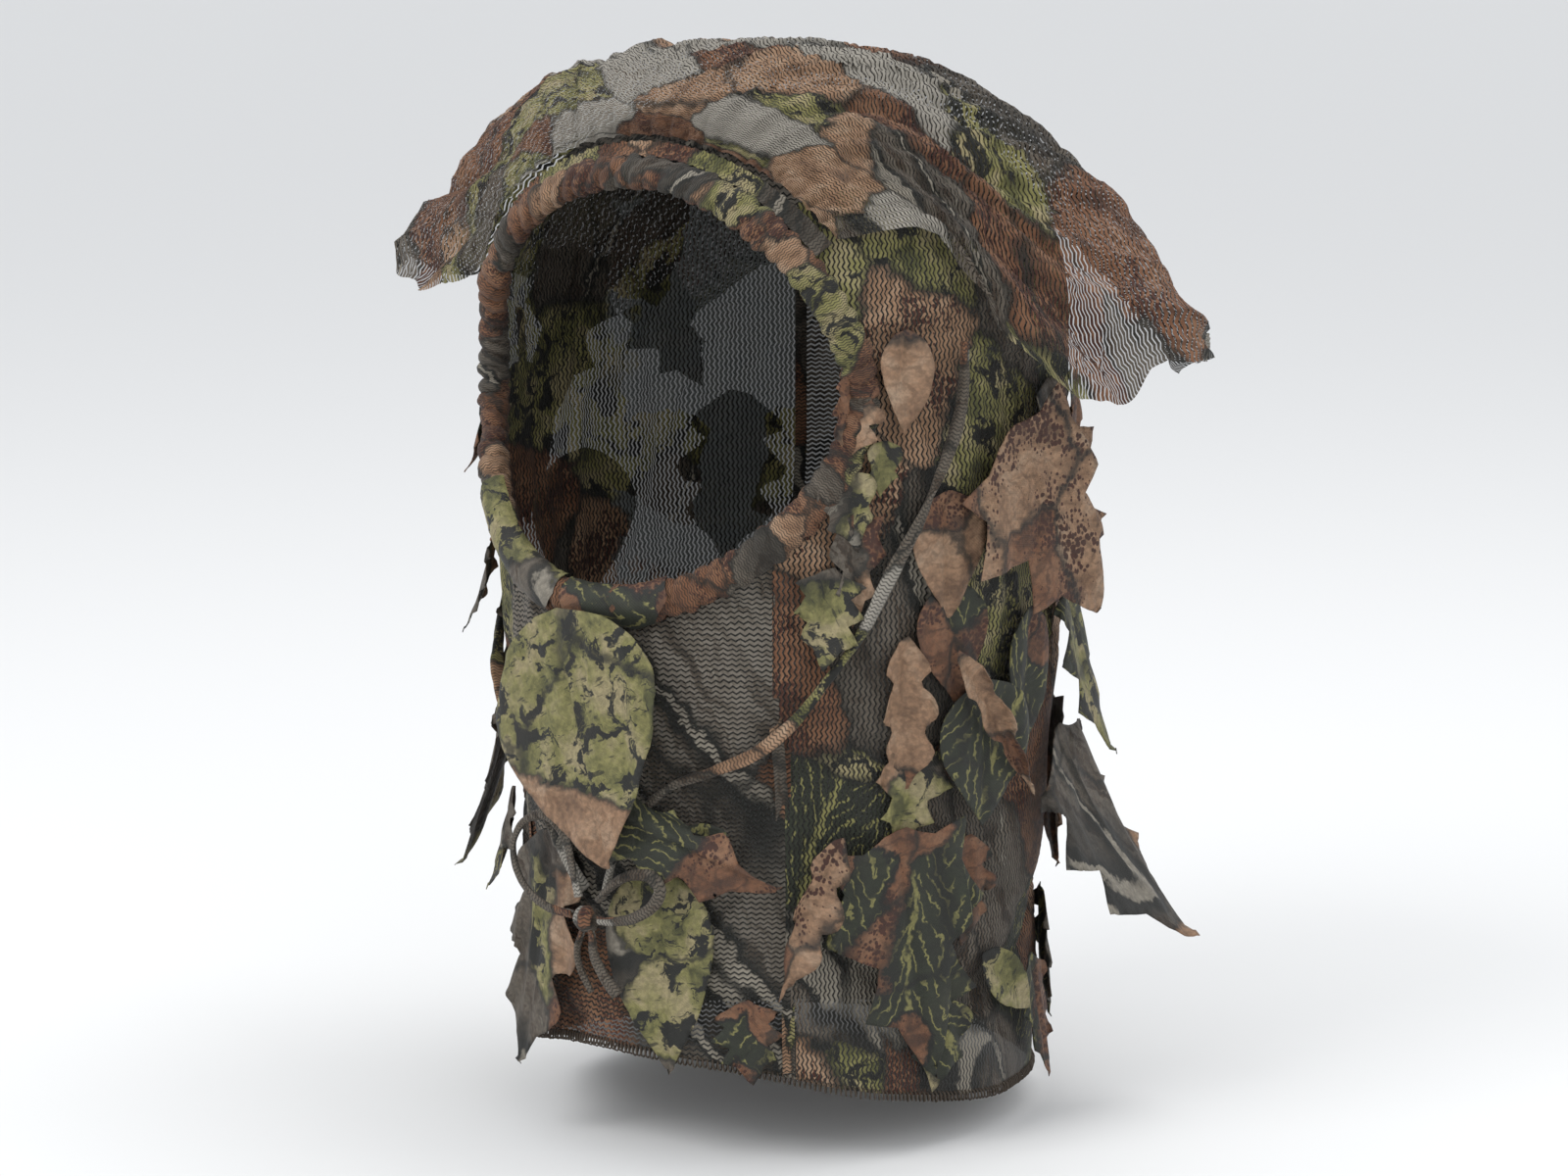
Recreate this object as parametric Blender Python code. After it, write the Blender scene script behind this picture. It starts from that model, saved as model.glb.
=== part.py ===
"""A leafy camouflage hood mask, in metres, +Z up, its face opening towards -Y.

The origin is where the top of the wearer's head meets the inside of the crown, and the wearer's left is +X.
Depths are below the outside of the crown, and so are the points written here: main() lifts all by the cloth.
Angles round the hood are counted from the front (-Y) towards +X, in degrees.
"""

import math

import bmesh
import bpy
from mathutils import Vector

# Driving dimensions
HALF_WIDTH = 0.119
HALF_DEPTH = 0.130
CROWN_HEIGHT = 0.100
CROWN_POWER = 2.3
HEM_DEPTH = 0.423
HEM_RISE = 0.033  # how much higher the hem hangs under the chin
OPENING_HALF_WIDTH = 0.095
OPENING_HALF_HEIGHT = 0.087
OPENING_DEPTH = 0.118
SEAM_X = 0.068
CLOTH = 0.0012
GAP = 0.0004
CASING_REACH = 0.0060
CASING_HEIGHT = 0.0045
CASING_WALL = 0.0012
TIE_RADIUS = 0.0025

# How wide the hood is at each depth below the crown, as a share of its full width
WAIST = ((0.100, 1.0), (0.160, 1.0), (0.220, 0.975), (0.290, 0.925), (0.360, 0.900), (0.440, 0.890))
AROUND = 34  # facets round the hood
RIM_STEPS = 44  # facets round the face opening
CELL = 0.023  # the largest facet of a leaf

# Half outlines of the leaves, from stem to tip: (share of the length, share of the width)
OUTLINES = {
    "maple": (
        (0.0, 0.05), (0.06, 0.20), (0.03, 0.40), (0.19, 0.33), (0.35, 0.50),
        (0.44, 0.33), (0.50, 0.21), (0.69, 0.33), (0.75, 0.15), (1.0, 0.0),
    ),
    "oak": (
        (0.0, 0.06), (0.11, 0.28), (0.21, 0.42), (0.29, 0.25), (0.40, 0.50),
        (0.51, 0.45), (0.56, 0.24), (0.68, 0.38), (0.77, 0.29), (0.84, 0.14), (1.0, 0.0),
    ),
    "birch": (
        (0.0, 0.06), (0.08, 0.31), (0.22, 0.47), (0.38, 0.50),
        (0.56, 0.42), (0.73, 0.28), (0.87, 0.13), (1.0, 0.0),
    ),
    "ivy": (
        (0.0, 0.10), (0.10, 0.42), (0.25, 0.50), (0.40, 0.37),
        (0.50, 0.30), (0.61, 0.40), (0.72, 0.20), (1.0, 0.0),
    ),
    "holly": (
        (0.0, 0.06), (0.09, 0.23), (0.15, 0.50), (0.29, 0.30), (0.43, 0.50),
        (0.54, 0.26), (0.67, 0.42), (0.78, 0.17), (1.0, 0.0),
    ),
}

# Each leaf: outline, angle round the hood, depth below the crown, turn of its axis from straight down
# (positive towards the wearer's left), length, width, stand-off at its stem, flare of its free end in
# degrees, radius it bends to, material. Lengths in metres.
LEAVES = {
    "leaf_chin": ("birch", -9, 0.207, 18, 0.106, 0.096, 0.0092, 4, 0.15, "leaf_moss"),
    "leaf_chin_low": ("holly", -2, 0.286, 72, 0.090, 0.040, 0.0090, 0, 0.15, "leaf_rust"),
    "leaf_bib_rust": ("ivy", 21, 0.292, 6, 0.030, 0.026, 0.0012, 0, 0.15, "leaf_rust"),
    "leaf_bib_moss": ("birch", 11, 0.312, 4, 0.084, 0.048, 0.0012, 1, 0.15, "leaf_moss"),
    "leaf_bib_bark": ("oak", -19, 0.304, -8, 0.102, 0.062, 0.0012, 6, 0.15, "leaf_bark"),
    "leaf_right_rim": ("ivy", -60, 0.128, 0, 0.036, 0.028, 0.0012, 22, 0.15, "leaf_rust"),
    "leaf_right_cheek": ("holly", -56, 0.188, -6, 0.044, 0.036, 0.0012, 22, 0.15, "leaf_bark"),
    "leaf_right_jaw": ("holly", -61, 0.250, -6, 0.088, 0.066, 0.0012, 21, 0.15, "leaf_green"),
    "leaf_right_low": ("oak", -47, 0.296, -4, 0.044, 0.034, 0.0012, 18, 0.15, "leaf_bark"),
    "leaf_left_front": ("maple", 61, 0.296, 10, 0.106, 0.084, 0.0045, 1, 0.15, "leaf_rust"),
    "leaf_front_curled": ("oak", 49, 0.296, -22, 0.070, 0.020, 0.0090, 3, 0.15, "leaf_tan"),
    "leaf_temple_tan": ("birch", 61, 0.092, -2, 0.040, 0.022, 0.0012, 2, 0.15, "leaf_tan"),
    "leaf_temple_moss": ("ivy", 57, 0.136, -4, 0.022, 0.016, 0.0012, 0, 0.15, "leaf_green"),
    "leaf_cheek_grey": ("maple", 52, 0.164, -2, 0.046, 0.026, 0.0012, 0, 0.15, "leaf_bark"),
    "leaf_cheek_round": ("birch", 70, 0.158, 4, 0.052, 0.036, 0.0012, 0, 0.15, "leaf_bark"),
    "leaf_cheek_rolled": ("oak", 70, 0.222, 38, 0.086, 0.016, 0.0125, 0, 0.15, "leaf_tan"),
    "leaf_jaw_crumpled": ("oak", 62, 0.216, 2, 0.066, 0.024, 0.0012, 1, 0.15, "leaf_speckled"),
    "leaf_left_cheek": ("maple", 82, 0.136, 38, 0.100, 0.096, 0.0075, 3, 0.45, "leaf_speckled"),
    "leaf_left_ear": ("ivy", 99, 0.118, 8, 0.036, 0.034, 0.0012, 0, 0.15, "leaf_bark"),
    "leaf_left_fern": ("birch", 80, 0.238, 4, 0.060, 0.054, 0.0042, 1, 0.15, "leaf_fern"),
    "leaf_left_rust": ("birch", 96, 0.212, -2, 0.062, 0.034, 0.0012, 1, 0.15, "leaf_rust"),
    "leaf_left_rear": ("holly", 114, 0.200, 10, 0.082, 0.050, 0.0012, 18, 0.15, "leaf_green"),
    "leaf_left_spread": ("holly", 112, 0.270, 16, 0.092, 0.090, 0.0045, 34, 0.30, "leaf_bark"),
    "leaf_left_shade": ("oak", 80, 0.304, -2, 0.046, 0.034, 0.0012, 0, 0.15, "leaf_rust"),
    "leaf_hem_fern": ("birch", 86, 0.358, 50, 0.044, 0.020, 0.0012, 4, 0.15, "leaf_fern"),
    "leaf_hem_rust": ("holly", 107, 0.366, 2, 0.052, 0.034, 0.0012, 10, 0.15, "leaf_rust"),
    "leaf_back_nape": ("maple", 142, 0.262, -4, 0.080, 0.074, 0.0012, 6, 0.15, "leaf_tan"),
    "leaf_back_hem": ("oak", 133, 0.348, 6, 0.060, 0.052, 0.0012, 5, 0.15, "leaf_green"),
    "leaf_back_low": ("maple", 163, 0.338, -6, 0.074, 0.066, 0.0012, 6, 0.15, "leaf_speckled"),
    "leaf_back_centre": ("birch", 178, 0.232, 8, 0.092, 0.066, 0.0012, 5, 0.15, "leaf_moss"),
    "leaf_back_high": ("oak", 143, 0.162, 8, 0.082, 0.058, 0.0012, 4, 0.15, "leaf_bark"),
    "leaf_back_crown": ("maple", 196, 0.128, -6, 0.086, 0.062, 0.0012, 4, 0.15, "leaf_rust"),
    "leaf_rear_side": ("birch", 262, 0.164, 10, 0.078, 0.062, 0.0012, 5, 0.15, "leaf_green"),
    "leaf_rear_high": ("oak", 228, 0.142, 4, 0.078, 0.054, 0.0012, 4, 0.15, "leaf_moss"),
    "leaf_rear_neck": ("maple", 236, 0.238, -4, 0.088, 0.078, 0.0012, 6, 0.15, "leaf_speckled"),
    "leaf_rear_hem": ("holly", 210, 0.334, 4, 0.078, 0.070, 0.0012, 8, 0.15, "leaf_green"),
    "leaf_rear_nape": ("oak", 207, 0.246, 2, 0.076, 0.052, 0.0012, 5, 0.15, "leaf_tan"),
    "leaf_side_hem": ("maple", 245, 0.340, 2, 0.072, 0.066, 0.0012, 7, 0.15, "leaf_moss"),
    "leaf_side_low": ("oak", 277, 0.330, -4, 0.078, 0.060, 0.0012, 6, 0.15, "leaf_bark"),
    "leaf_side_neck": ("ivy", 268, 0.254, 4, 0.066, 0.056, 0.0012, 8, 0.15, "leaf_rust"),
}

# Where the flap over the crown lies, from front to back: middle (y, z), then for the wearer's left and
# right (half width, y and z of the free edge, power of the fall to it)
FLAP_ROWS = (
    ((-0.086, -0.004), (0.109, -0.052, -0.054, 2.7), (0.116, -0.064, -0.076, 3.4)),
    ((-0.046, 0.010), (0.129, -0.028, -0.098, 3.2), (0.158, -0.038, -0.090, 3.2)),
    ((0.012, 0.011), (0.152, 0.012, -0.124, 2.5), (0.208, -0.008, -0.086, 3.0)),
    ((0.074, -0.004), (0.178, 0.042, -0.108, 2.1), (0.190, 0.052, -0.094, 2.5)),
    ((0.133, -0.060), (0.130, 0.098, -0.122, 1.9), (0.136, 0.096, -0.118, 2.0)),
)
FLAP_CELLS = (9, 20)
FLAP_SEAM_ANGLE = 54  # how far round the opening the flap is sewn on each side of the brow, in degrees
FLAP_SEAM_REACH = 0.0165  # from the middle of the casing to the flap's front edge
FLAP_STAND_OFF = 0.0035
FLAP_HINGE = (0.0, -0.125, -0.045)  # a point of the line across the brow that the flap lifts about

# Routes of the two ties: (angle round the hood, depth below the crown, height of its middle off the cloth)
TIE_LEFT = (
    (73, 0.098, 0.0046), (72, 0.125, 0.0050), (67, 0.152, 0.0058), (62, 0.173, 0.0060), (57, 0.194, 0.0060),
    (52, 0.215, 0.0060), (46, 0.232, 0.0056), (40, 0.248, 0.0050), (33, 0.261, 0.0044), (25, 0.269, 0.0040),
    (16, 0.276, 0.0040), (9, 0.289, 0.0040), (3, 0.306, 0.0048), (0.5, 0.324, 0.0075),
)
TIE_RIGHT = (
    (-77, 0.098, 0.0044), (-78, 0.125, 0.0044), (-78, 0.152, 0.0044), (-76, 0.180, 0.0046),
    (-71, 0.205, 0.0046), (-63, 0.226, 0.0046), (-52, 0.243, 0.0044), (-42, 0.258, 0.0044),
    (-33, 0.270, 0.0044), (-24, 0.284, 0.0046), (-15, 0.303, 0.0054), (-5, 0.3235, 0.0075),
)
KNOT = (-2.5, 0.334, 0.0125)
# The bow's loops and tails, in the plane of the cloth at the knot: (towards the wearer's left, up, outwards)
LOOP_LEFT = (
    (0.007, 0.000, 0.0), (0.016, 0.001, 0.0), (0.026, 0.004, 0.0), (0.035, 0.010, -0.001),
    (0.038, 0.017, -0.002), (0.033, 0.022, -0.002), (0.023, 0.021, -0.001), (0.014, 0.016, 0.0),
    (0.007, 0.009, 0.001),
)
LOOP_RIGHT = (
    (-0.007, 0.001, 0.0), (-0.020, 0.002, 0.0), (-0.031, 0.007, 0.0), (-0.039, 0.016, -0.001),
    (-0.041, 0.027, -0.002), (-0.034, 0.037, -0.002), (-0.021, 0.040, -0.001), (-0.011, 0.033, 0.0),
    (-0.006, 0.020, 0.001), (-0.003, 0.009, 0.001),
)
TAIL_LEFT = ((0.003, -0.007, 0.0), (0.004, -0.014, 0.0), (0.008, -0.022, -0.001), (0.015, -0.030, -0.002))
TAIL_RIGHT = ((-0.003, -0.007, 0.0), (-0.005, -0.014, 0.0), (-0.004, -0.022, -0.001), (0.001, -0.031, -0.002))

# Colours, roughness
MATERIALS = {
    "mesh_camo": ((0.125, 0.098, 0.075), 0.9),
    "casing_rust": ((0.215, 0.095, 0.045), 0.9),
    "elastic_black": ((0.02, 0.02, 0.02), 0.7),
    "thread_brown": ((0.085, 0.060, 0.042), 0.8),
    "tie_camo": ((0.105, 0.090, 0.075), 0.9),
    "leaf_moss": ((0.165, 0.160, 0.060), 0.8),
    "leaf_green": ((0.130, 0.140, 0.055), 0.8),
    "leaf_fern": ((0.070, 0.080, 0.040), 0.8),
    "leaf_bark": ((0.140, 0.105, 0.080), 0.8),
    "leaf_rust": ((0.220, 0.090, 0.045), 0.8),
    "leaf_tan": ((0.290, 0.190, 0.120), 0.8),
    "leaf_speckled": ((0.270, 0.160, 0.100), 0.8),
}


def material(name):
    """The Principled material of that name, made on first use."""
    if name in bpy.data.materials:
        return bpy.data.materials[name]
    colour, roughness = MATERIALS[name]
    made = bpy.data.materials.new(name)
    made.use_nodes = True
    shader = made.node_tree.nodes["Principled BSDF"]
    shader.inputs["Base Color"].default_value = (*colour, 1.0)
    shader.inputs["Roughness"].default_value = roughness
    shader.inputs["Metallic"].default_value = 0.0
    return made


def add_object(name, data, finish):
    """Links an object with its material."""
    made = bpy.data.objects.new(name, data)
    made.data.materials.append(material(finish))
    bpy.context.scene.collection.objects.link(made)
    return made


def from_bmesh(name, bm, finish):
    """An object from a closed bmesh, with its faces turned outwards and shaded smooth."""
    bm.normal_update()
    bmesh.ops.recalc_face_normals(bm, faces=bm.faces)
    mesh = bpy.data.meshes.new(name)
    bm.to_mesh(mesh)
    bm.free()
    mesh.shade_smooth()
    mesh.set_sharp_from_angle(angle=math.radians(40))
    return add_object(name, mesh, finish)


def steps_round(count):
    """That many angles of one turn, in radians."""
    return [math.tau * i / count for i in range(count)]


def smooth_step(t):
    return t * t * (3 - 2 * t)


def on_curve(points, place):
    """The point at that place of the smooth curve through points that lie at 0, 1, 2 and so on."""
    i = min(int(place), len(points) - 2)
    t = place - i
    p0, p1, p2, p3 = (points[max(0, min(len(points) - 1, k))] for k in range(i - 1, i + 3))
    square, cube = p0 * 2 - p1 * 5 + p2 * 4 - p3, p1 * 3 - p0 - p2 * 3 + p3
    return (p1 * 2 + (p2 - p0) * t + square * t**2 + cube * t**3) / 2


def share_at(depth):
    """The hood's width at a depth below the crown, as a share of its full width."""
    if depth <= 0:
        return 0.0
    if depth < CROWN_HEIGHT:
        return (1 - (1 - depth / CROWN_HEIGHT) ** CROWN_POWER) ** (1 / CROWN_POWER)
    for (d0, w0), (d1, w1) in zip(WAIST, WAIST[1:]):
        if depth <= d1:
            return w0 + (w1 - w0) * smooth_step((depth - d0) / (d1 - d0))
    return WAIST[-1][1]


def hem_at(angle):
    """The depth of the hem at an angle in degrees: it rises under the chin."""
    return HEM_DEPTH - HEM_RISE * (0.5 + 0.5 * math.cos(math.radians(angle))) ** 3


def hood_point(angle, depth):
    """A point on the outside of the cloth, at an angle in degrees and a depth below the crown."""
    turn, share = math.radians(angle), share_at(depth)
    return Vector((HALF_WIDTH * share * math.sin(turn), -HALF_DEPTH * share * math.cos(turn), -depth))


def normal_at(point):
    """The outward normal of the hood at a point of it."""
    depth, step = -point.z, 0.0005
    slope = (share_at(depth + step) ** 2 - share_at(depth - step) ** 2) / (4 * step)
    return Vector((point.x / HALF_WIDTH**2, point.y / HALF_DEPTH**2, slope)).normalized()


def rim_point(angle):
    """A point of the face opening's edge, counted from the wearer's left over the brow, in radians."""
    x = OPENING_HALF_WIDTH * math.cos(angle)
    depth = OPENING_DEPTH - OPENING_HALF_HEIGHT * math.sin(angle)
    share = share_at(depth)
    return Vector((x, -HALF_DEPTH * math.sqrt(share**2 - (x / HALF_WIDTH) ** 2), -depth))


def rim_frame(angle):
    """(point, direction in the cloth away from the opening, outward normal) on the opening's edge."""
    point = rim_point(angle)
    along = (rim_point(angle + 0.01) - rim_point(angle - 0.01)).normalized()
    out = normal_at(point)
    return point, along.cross(out).normalized(), out


# ---- the cloth shell and its panels ----


def shell(inset, thickness):
    """A closed bag of cloth as a bmesh, its outside that far inside the hood's outer surface."""
    shares = [1 - math.cos(math.radians(90 * i / 8)) for i in range(9)]
    shares += [1 + (i + 1) / 9 for i in range(9)]
    bm = bmesh.new()

    def point(share, turn, inwards):
        if share <= 1:
            depth = CROWN_HEIGHT * share
        else:
            depth = CROWN_HEIGHT + (hem_at(math.degrees(turn)) - CROWN_HEIGHT) * (share - 1)
        flat = hood_point(math.degrees(turn), depth)
        side = Vector((flat.x, flat.y, 0))
        if side.length > 1e-9:
            flat -= side.normalized() * inwards
        flat.z -= inwards * max(0.0, 1 - depth / CROWN_HEIGHT)
        return flat

    layers = []
    for inwards in (inset, inset + thickness):
        top = bm.verts.new((0, 0, -inwards))
        rings = []
        for share in shares[1:]:
            rings.append([bm.verts.new(point(share, turn, inwards)) for turn in steps_round(AROUND)])
        for i in range(AROUND):
            j = (i + 1) % AROUND
            bm.faces.new((top, rings[0][i], rings[0][j]))
            for ring, lower in zip(rings, rings[1:]):
                bm.faces.new((ring[i], lower[i], lower[j], ring[j]))
        layers.append(rings[-1])
    outer, inner = layers
    for i in range(AROUND):
        j = (i + 1) % AROUND
        bm.faces.new((outer[i], inner[i], inner[j], outer[j]))
    bm.normal_update()
    bmesh.ops.recalc_face_normals(bm, faces=bm.faces)
    return bm


def swept_ring(profile, steps=RIM_STEPS):
    """A closed ring round the face opening, as a bmesh. The profile is (away from the opening, outwards)."""
    bm = bmesh.new()
    rings = []
    for i in range(steps):
        point, away, out = rim_frame(math.tau * i / steps)
        rings.append([bm.verts.new(point + away * a + out * b) for a, b in profile])
    for ring, following in zip(rings, rings[1:] + rings[:1]):
        for j in range(len(profile)):
            k = (j + 1) % len(profile)
            bm.faces.new((ring[j], ring[k], following[k], following[j]))
    bmesh.ops.recalc_face_normals(bm, faces=bm.faces)
    return bm


def helper(name, bm):
    """A cutter, which is hidden in renders."""
    mesh = bpy.data.meshes.new(name)
    bm.to_mesh(mesh)
    bm.free()
    made = bpy.data.objects.new(name, mesh)
    bpy.context.scene.collection.objects.link(made)
    made.hide_render = True
    made.display_type = "WIRE"
    return made


def opening_cutters():
    """What the face opening takes out of the cloth: the hole, and the room for the casing round it."""
    bm = bmesh.new()
    bmesh.ops.create_cone(bm, cap_ends=True, segments=48, radius1=1, radius2=1, depth=0.2)
    for v in bm.verts:
        x, z, y = v.co.x * OPENING_HALF_WIDTH, v.co.y * OPENING_HALF_HEIGHT, v.co.z
        v.co = Vector((x, y - 0.1, z - OPENING_DEPTH))
    bmesh.ops.recalc_face_normals(bm, faces=bm.faces)
    hole = helper("cutter_hole", bm)
    a, b = CASING_REACH + GAP, 0.008
    return [hole, helper("cutter_casing", swept_ring([(-a, -b), (a, -b), (a, b), (-a, b)]))]


def cut_shell(inset, thickness, cutters):
    """The shell with the face opening cut out, as a mesh."""
    body = helper("cutter_shell", shell(inset, thickness))
    for cutter in cutters:
        cut = body.modifiers.new(cutter.name, "BOOLEAN")
        cut.operation = "DIFFERENCE"
        cut.object = cutter
    bpy.context.view_layer.update()
    mesh = bpy.data.meshes.new_from_object(body.evaluated_get(bpy.context.evaluated_depsgraph_get()))
    bpy.data.objects.remove(body)
    return mesh


def slice_x(bm, low, high):
    """Keeps what lies between two values of x, and closes the cuts."""
    for place, side in ((low, -1), (high, 1)):
        geometry = bm.verts[:] + bm.edges[:] + bm.faces[:]
        made = bmesh.ops.bisect_plane(
            bm, geom=geometry, dist=1e-6, plane_co=(place, 0, 0), plane_no=(side, 0, 0), clear_outer=True
        )
        edges = [e for e in made["geom_cut"] if isinstance(e, bmesh.types.BMEdge)]
        bmesh.ops.holes_fill(bm, edges=edges, sides=0)


def keep_island(bm, near):
    """Keeps only the body that holds the vertex nearest to a point."""
    start = min(bm.verts, key=lambda v: (v.co - near).length)
    found, todo = {start}, [start]
    while todo:
        for edge in todo.pop().link_edges:
            for v in edge.verts:
                if v not in found:
                    found.add(v)
                    todo.append(v)
    bmesh.ops.delete(bm, geom=[v for v in bm.verts if v not in found], context="VERTS")


def panel(name, mesh, low, high, near, finish):
    """One cut piece of a shell, between two straight seams."""
    bm = bmesh.new()
    bm.from_mesh(mesh)
    slice_x(bm, low, high)
    keep_island(bm, near)
    bmesh.ops.triangulate(bm, faces=bm.faces)
    return from_bmesh(name, bm, finish)


def build_hood():
    """The four panels of mesh cloth, and the overlocked seams that join them inside."""
    cutters = opening_cutters()
    cloth = cut_shell(0.0, CLOTH, cutters)
    edge, far = SEAM_X - GAP / 2, 0.2
    crown, chin = Vector((0, 0, 0)), Vector((0, -HALF_DEPTH, -0.3))
    panel("centre_panel", cloth, -edge, edge, crown, "mesh_camo")
    panel("bib_panel", cloth, -edge, edge, chin, "mesh_camo")
    panel("side_panel_left", cloth, SEAM_X + GAP / 2, far, Vector((HALF_WIDTH, 0, -0.2)), "mesh_camo")
    panel("side_panel_right", cloth, -far, -SEAM_X - GAP / 2, Vector((-HALF_WIDTH, 0, -0.2)), "mesh_camo")
    inside = cut_shell(CLOTH + GAP, CLOTH, cutters)
    half = 0.0028  # half the width of an overlocked seam
    for side, word in ((1, "left"), (-1, "right")):
        low, high = sorted((side * (SEAM_X - half), side * (SEAM_X + half)))
        panel(f"crown_seam_{word}", inside, low, high, Vector((side * SEAM_X, 0.1, -0.2)), "thread_brown")
        panel(f"bib_seam_{word}", inside, low, high, Vector((side * SEAM_X, -0.1, -0.35)), "thread_brown")
    for cutter in cutters:
        bpy.data.objects.remove(cutter)


def build_rim():
    """The folded casing round the face opening, its mouth towards the panels, and the elastic inside it."""
    a, b, wall, mouth = CASING_REACH, CASING_HEIGHT, CASING_WALL, CLOTH
    centre = -CLOTH / 2
    outside = [(a, mouth), (a * 0.5, b), (-a * 0.5, b), (-a, 0)]
    inside = [(x - math.copysign(wall, x) if x else 0.0, z - wall if z else 0.0) for x, z in outside[1:]]
    profile = [(x, z + centre) for x, z in outside]
    profile += [(x, -z + centre) for x, z in outside[-2::-1]]
    inner = [(a - wall * 1.2, mouth * 0.9)] + inside
    profile += [(x, -z + centre) for x, z in inner]
    profile += [(x, z + centre) for x, z in inner[-2::-1]]
    from_bmesh("face_casing", swept_ring(profile), "casing_rust")
    band = [(-0.0012 + 0.0022 * math.cos(t), centre + 0.0013 * math.sin(t)) for t in steps_round(6)]
    from_bmesh("face_elastic", swept_ring(band), "elastic_black")


def build_hem():
    """The ring of overlock thread under the hem."""
    bm = bmesh.new()
    rings = []
    for turn in steps_round(AROUND):
        edge = hood_point(math.degrees(turn), hem_at(math.degrees(turn)))
        out = Vector((edge.x, edge.y, 0)).normalized()
        centre = edge - out * CLOTH / 2 + Vector((0, 0, -0.0016 - GAP))
        ring = []
        for t in steps_round(5):
            height = Vector((0, 0, 0.0015 * math.sin(t)))
            ring.append(bm.verts.new(centre + out * 0.0017 * math.cos(t) + height))
        rings.append(ring)
    for ring, following in zip(rings, rings[1:] + rings[:1]):
        for j in range(len(ring)):
            k = (j + 1) % len(ring)
            bm.faces.new((ring[j], ring[k], following[k], following[j]))
    from_bmesh("hem_overlock", bm, "thread_brown")


# ---- sheets: the flap, its binding and the leaves ----


def cloth_piece(name, outline, cell, place, thickness, finish, origin=(0.0, 0.0, 0.0)):
    """A piece of cloth of that flat outline, in facets no larger than a cell. place(a, b, height) puts a
    flat point into space, at a height over the cloth's inner side. Its origin is on what it turns about."""
    bm = bmesh.new()
    bm.faces.new([bm.verts.new((a, b, 0)) for a, b in outline])
    for axis in (0, 1):
        values = [p[axis] for p in outline]
        count = math.ceil((max(values) - min(values)) / cell[axis])
        for i in range(1, count):
            at, normal = Vector((0, 0, 0)), Vector((0, 0, 0))
            at[axis], normal[axis] = min(values) + (max(values) - min(values)) * i / count, 1
            geometry = bm.verts[:] + bm.edges[:] + bm.faces[:]
            bmesh.ops.bisect_plane(bm, geom=geometry, dist=1e-6, plane_co=at, plane_no=normal)
    bmesh.ops.triangulate(bm, faces=bm.faces)
    lower = bm.verts[:]
    made = bmesh.ops.extrude_face_region(bm, geom=bm.faces[:], use_keep_orig=True)
    upper = [v for v in made["geom"] if isinstance(v, bmesh.types.BMVert)]
    origin = Vector(origin)
    for v in lower:
        v.co = place(v.co.x, v.co.y, 0.0) - origin
    for v in upper:
        v.co = place(v.co.x, v.co.y, thickness) - origin
    made = from_bmesh(name, bm, finish)
    made.location = origin
    return made


def leaf_frame(angle, depth, turn, length, stand_off):
    """(stem, along, across, out) of a leaf: its stem's place and its three directions."""
    start = hood_point(angle, depth)
    down = (hood_point(angle, min(depth + length, HEM_DEPTH)) - start).normalized()
    side = Vector((HALF_WIDTH * math.cos(math.radians(angle)), HALF_DEPTH * math.sin(math.radians(angle)), 0))
    side.normalize()
    out = down.cross(side).normalized()
    if out.dot(Vector((start.x, start.y, 0))) < 0:
        out.negate()
    turn = math.radians(turn)
    along = down * math.cos(turn) + side * math.sin(turn)
    across = side * math.cos(turn) - down * math.sin(turn)
    return start + out * stand_off, along, across, side, down, out


def build_leaf(name):
    """One cut leaf, sewn to the hood at its stem, bent round it and flared outwards at its free end."""
    shape, angle, depth, turn, length, width, stand_off, flare, bend, finish = LEAVES[name]
    half = OUTLINES[shape]
    outline = [(a * length, b * width) for a, b in half]
    outline += [(a * length, -b * width) for a, b in half[-2::-1]]
    stem, along, across, side, down, out = leaf_frame(angle, depth, turn, length, stand_off)
    kick = math.tan(math.radians(flare))

    def place(a, b, height):
        flat = along * a + across * b
        aside, drop = flat.dot(side), flat.dot(down)
        lift = kick * a * (0.35 + 0.65 * a / length)
        inwards = bend * (1 - math.cos(aside / bend))
        return stem + side * bend * math.sin(aside / bend) + down * drop + out * (lift - inwards + height)

    cloth_piece(name, outline, (CELL, CELL), place, CLOTH * 0.8, finish, stem)


def flap_row(row, across):
    """A point of one row of the flap. across goes from -1 at the wearer's right to 1 at the left."""
    (mid_y, mid_z), left, right = row
    half, edge_y, edge_z, power = left if across > 0 else right
    t = abs(across)
    return Vector((half * across, mid_y + (edge_y - mid_y) * t * t, mid_z + (edge_z - mid_z) * t**power))


def flap_point(along, across, height):
    """A point of the flap, from its seam at the brow (along 0) to its free back edge (along 1)."""
    point, away, out = rim_frame(math.radians(90 - FLAP_SEAM_ANGLE * across))
    rows = [point + away * FLAP_SEAM_REACH + out * FLAP_STAND_OFF]
    rows += [flap_row(row, across) for row in FLAP_ROWS]
    curve = on_curve(rows, along * (len(rows) - 1))
    lift = (curve - Vector((0, 0, -0.12))).normalized()
    return curve + lift * height


def build_flap():
    """The broad mesh flap over the crown, sewn at the brow, and the binding strip that holds it."""
    outline = [(0, -1), (1, -1), (1, 1), (0, 1)]
    cells = (1 / FLAP_CELLS[0], 2 / FLAP_CELLS[1])
    cloth_piece("crown_flap", outline, cells, flap_point, CLOTH, "mesh_camo", FLAP_HINGE)
    start, width = CASING_REACH + 0.0012, 0.0075

    def place(a, b, height):
        point, away, out = rim_frame(math.radians(90 - FLAP_SEAM_ANGLE * b))
        return point + away * (start + width * a) + out * (GAP + height)

    cloth_piece("brow_binding", outline, (1.0, 2 / 24), place, CLOTH, "thread_brown")


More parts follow.
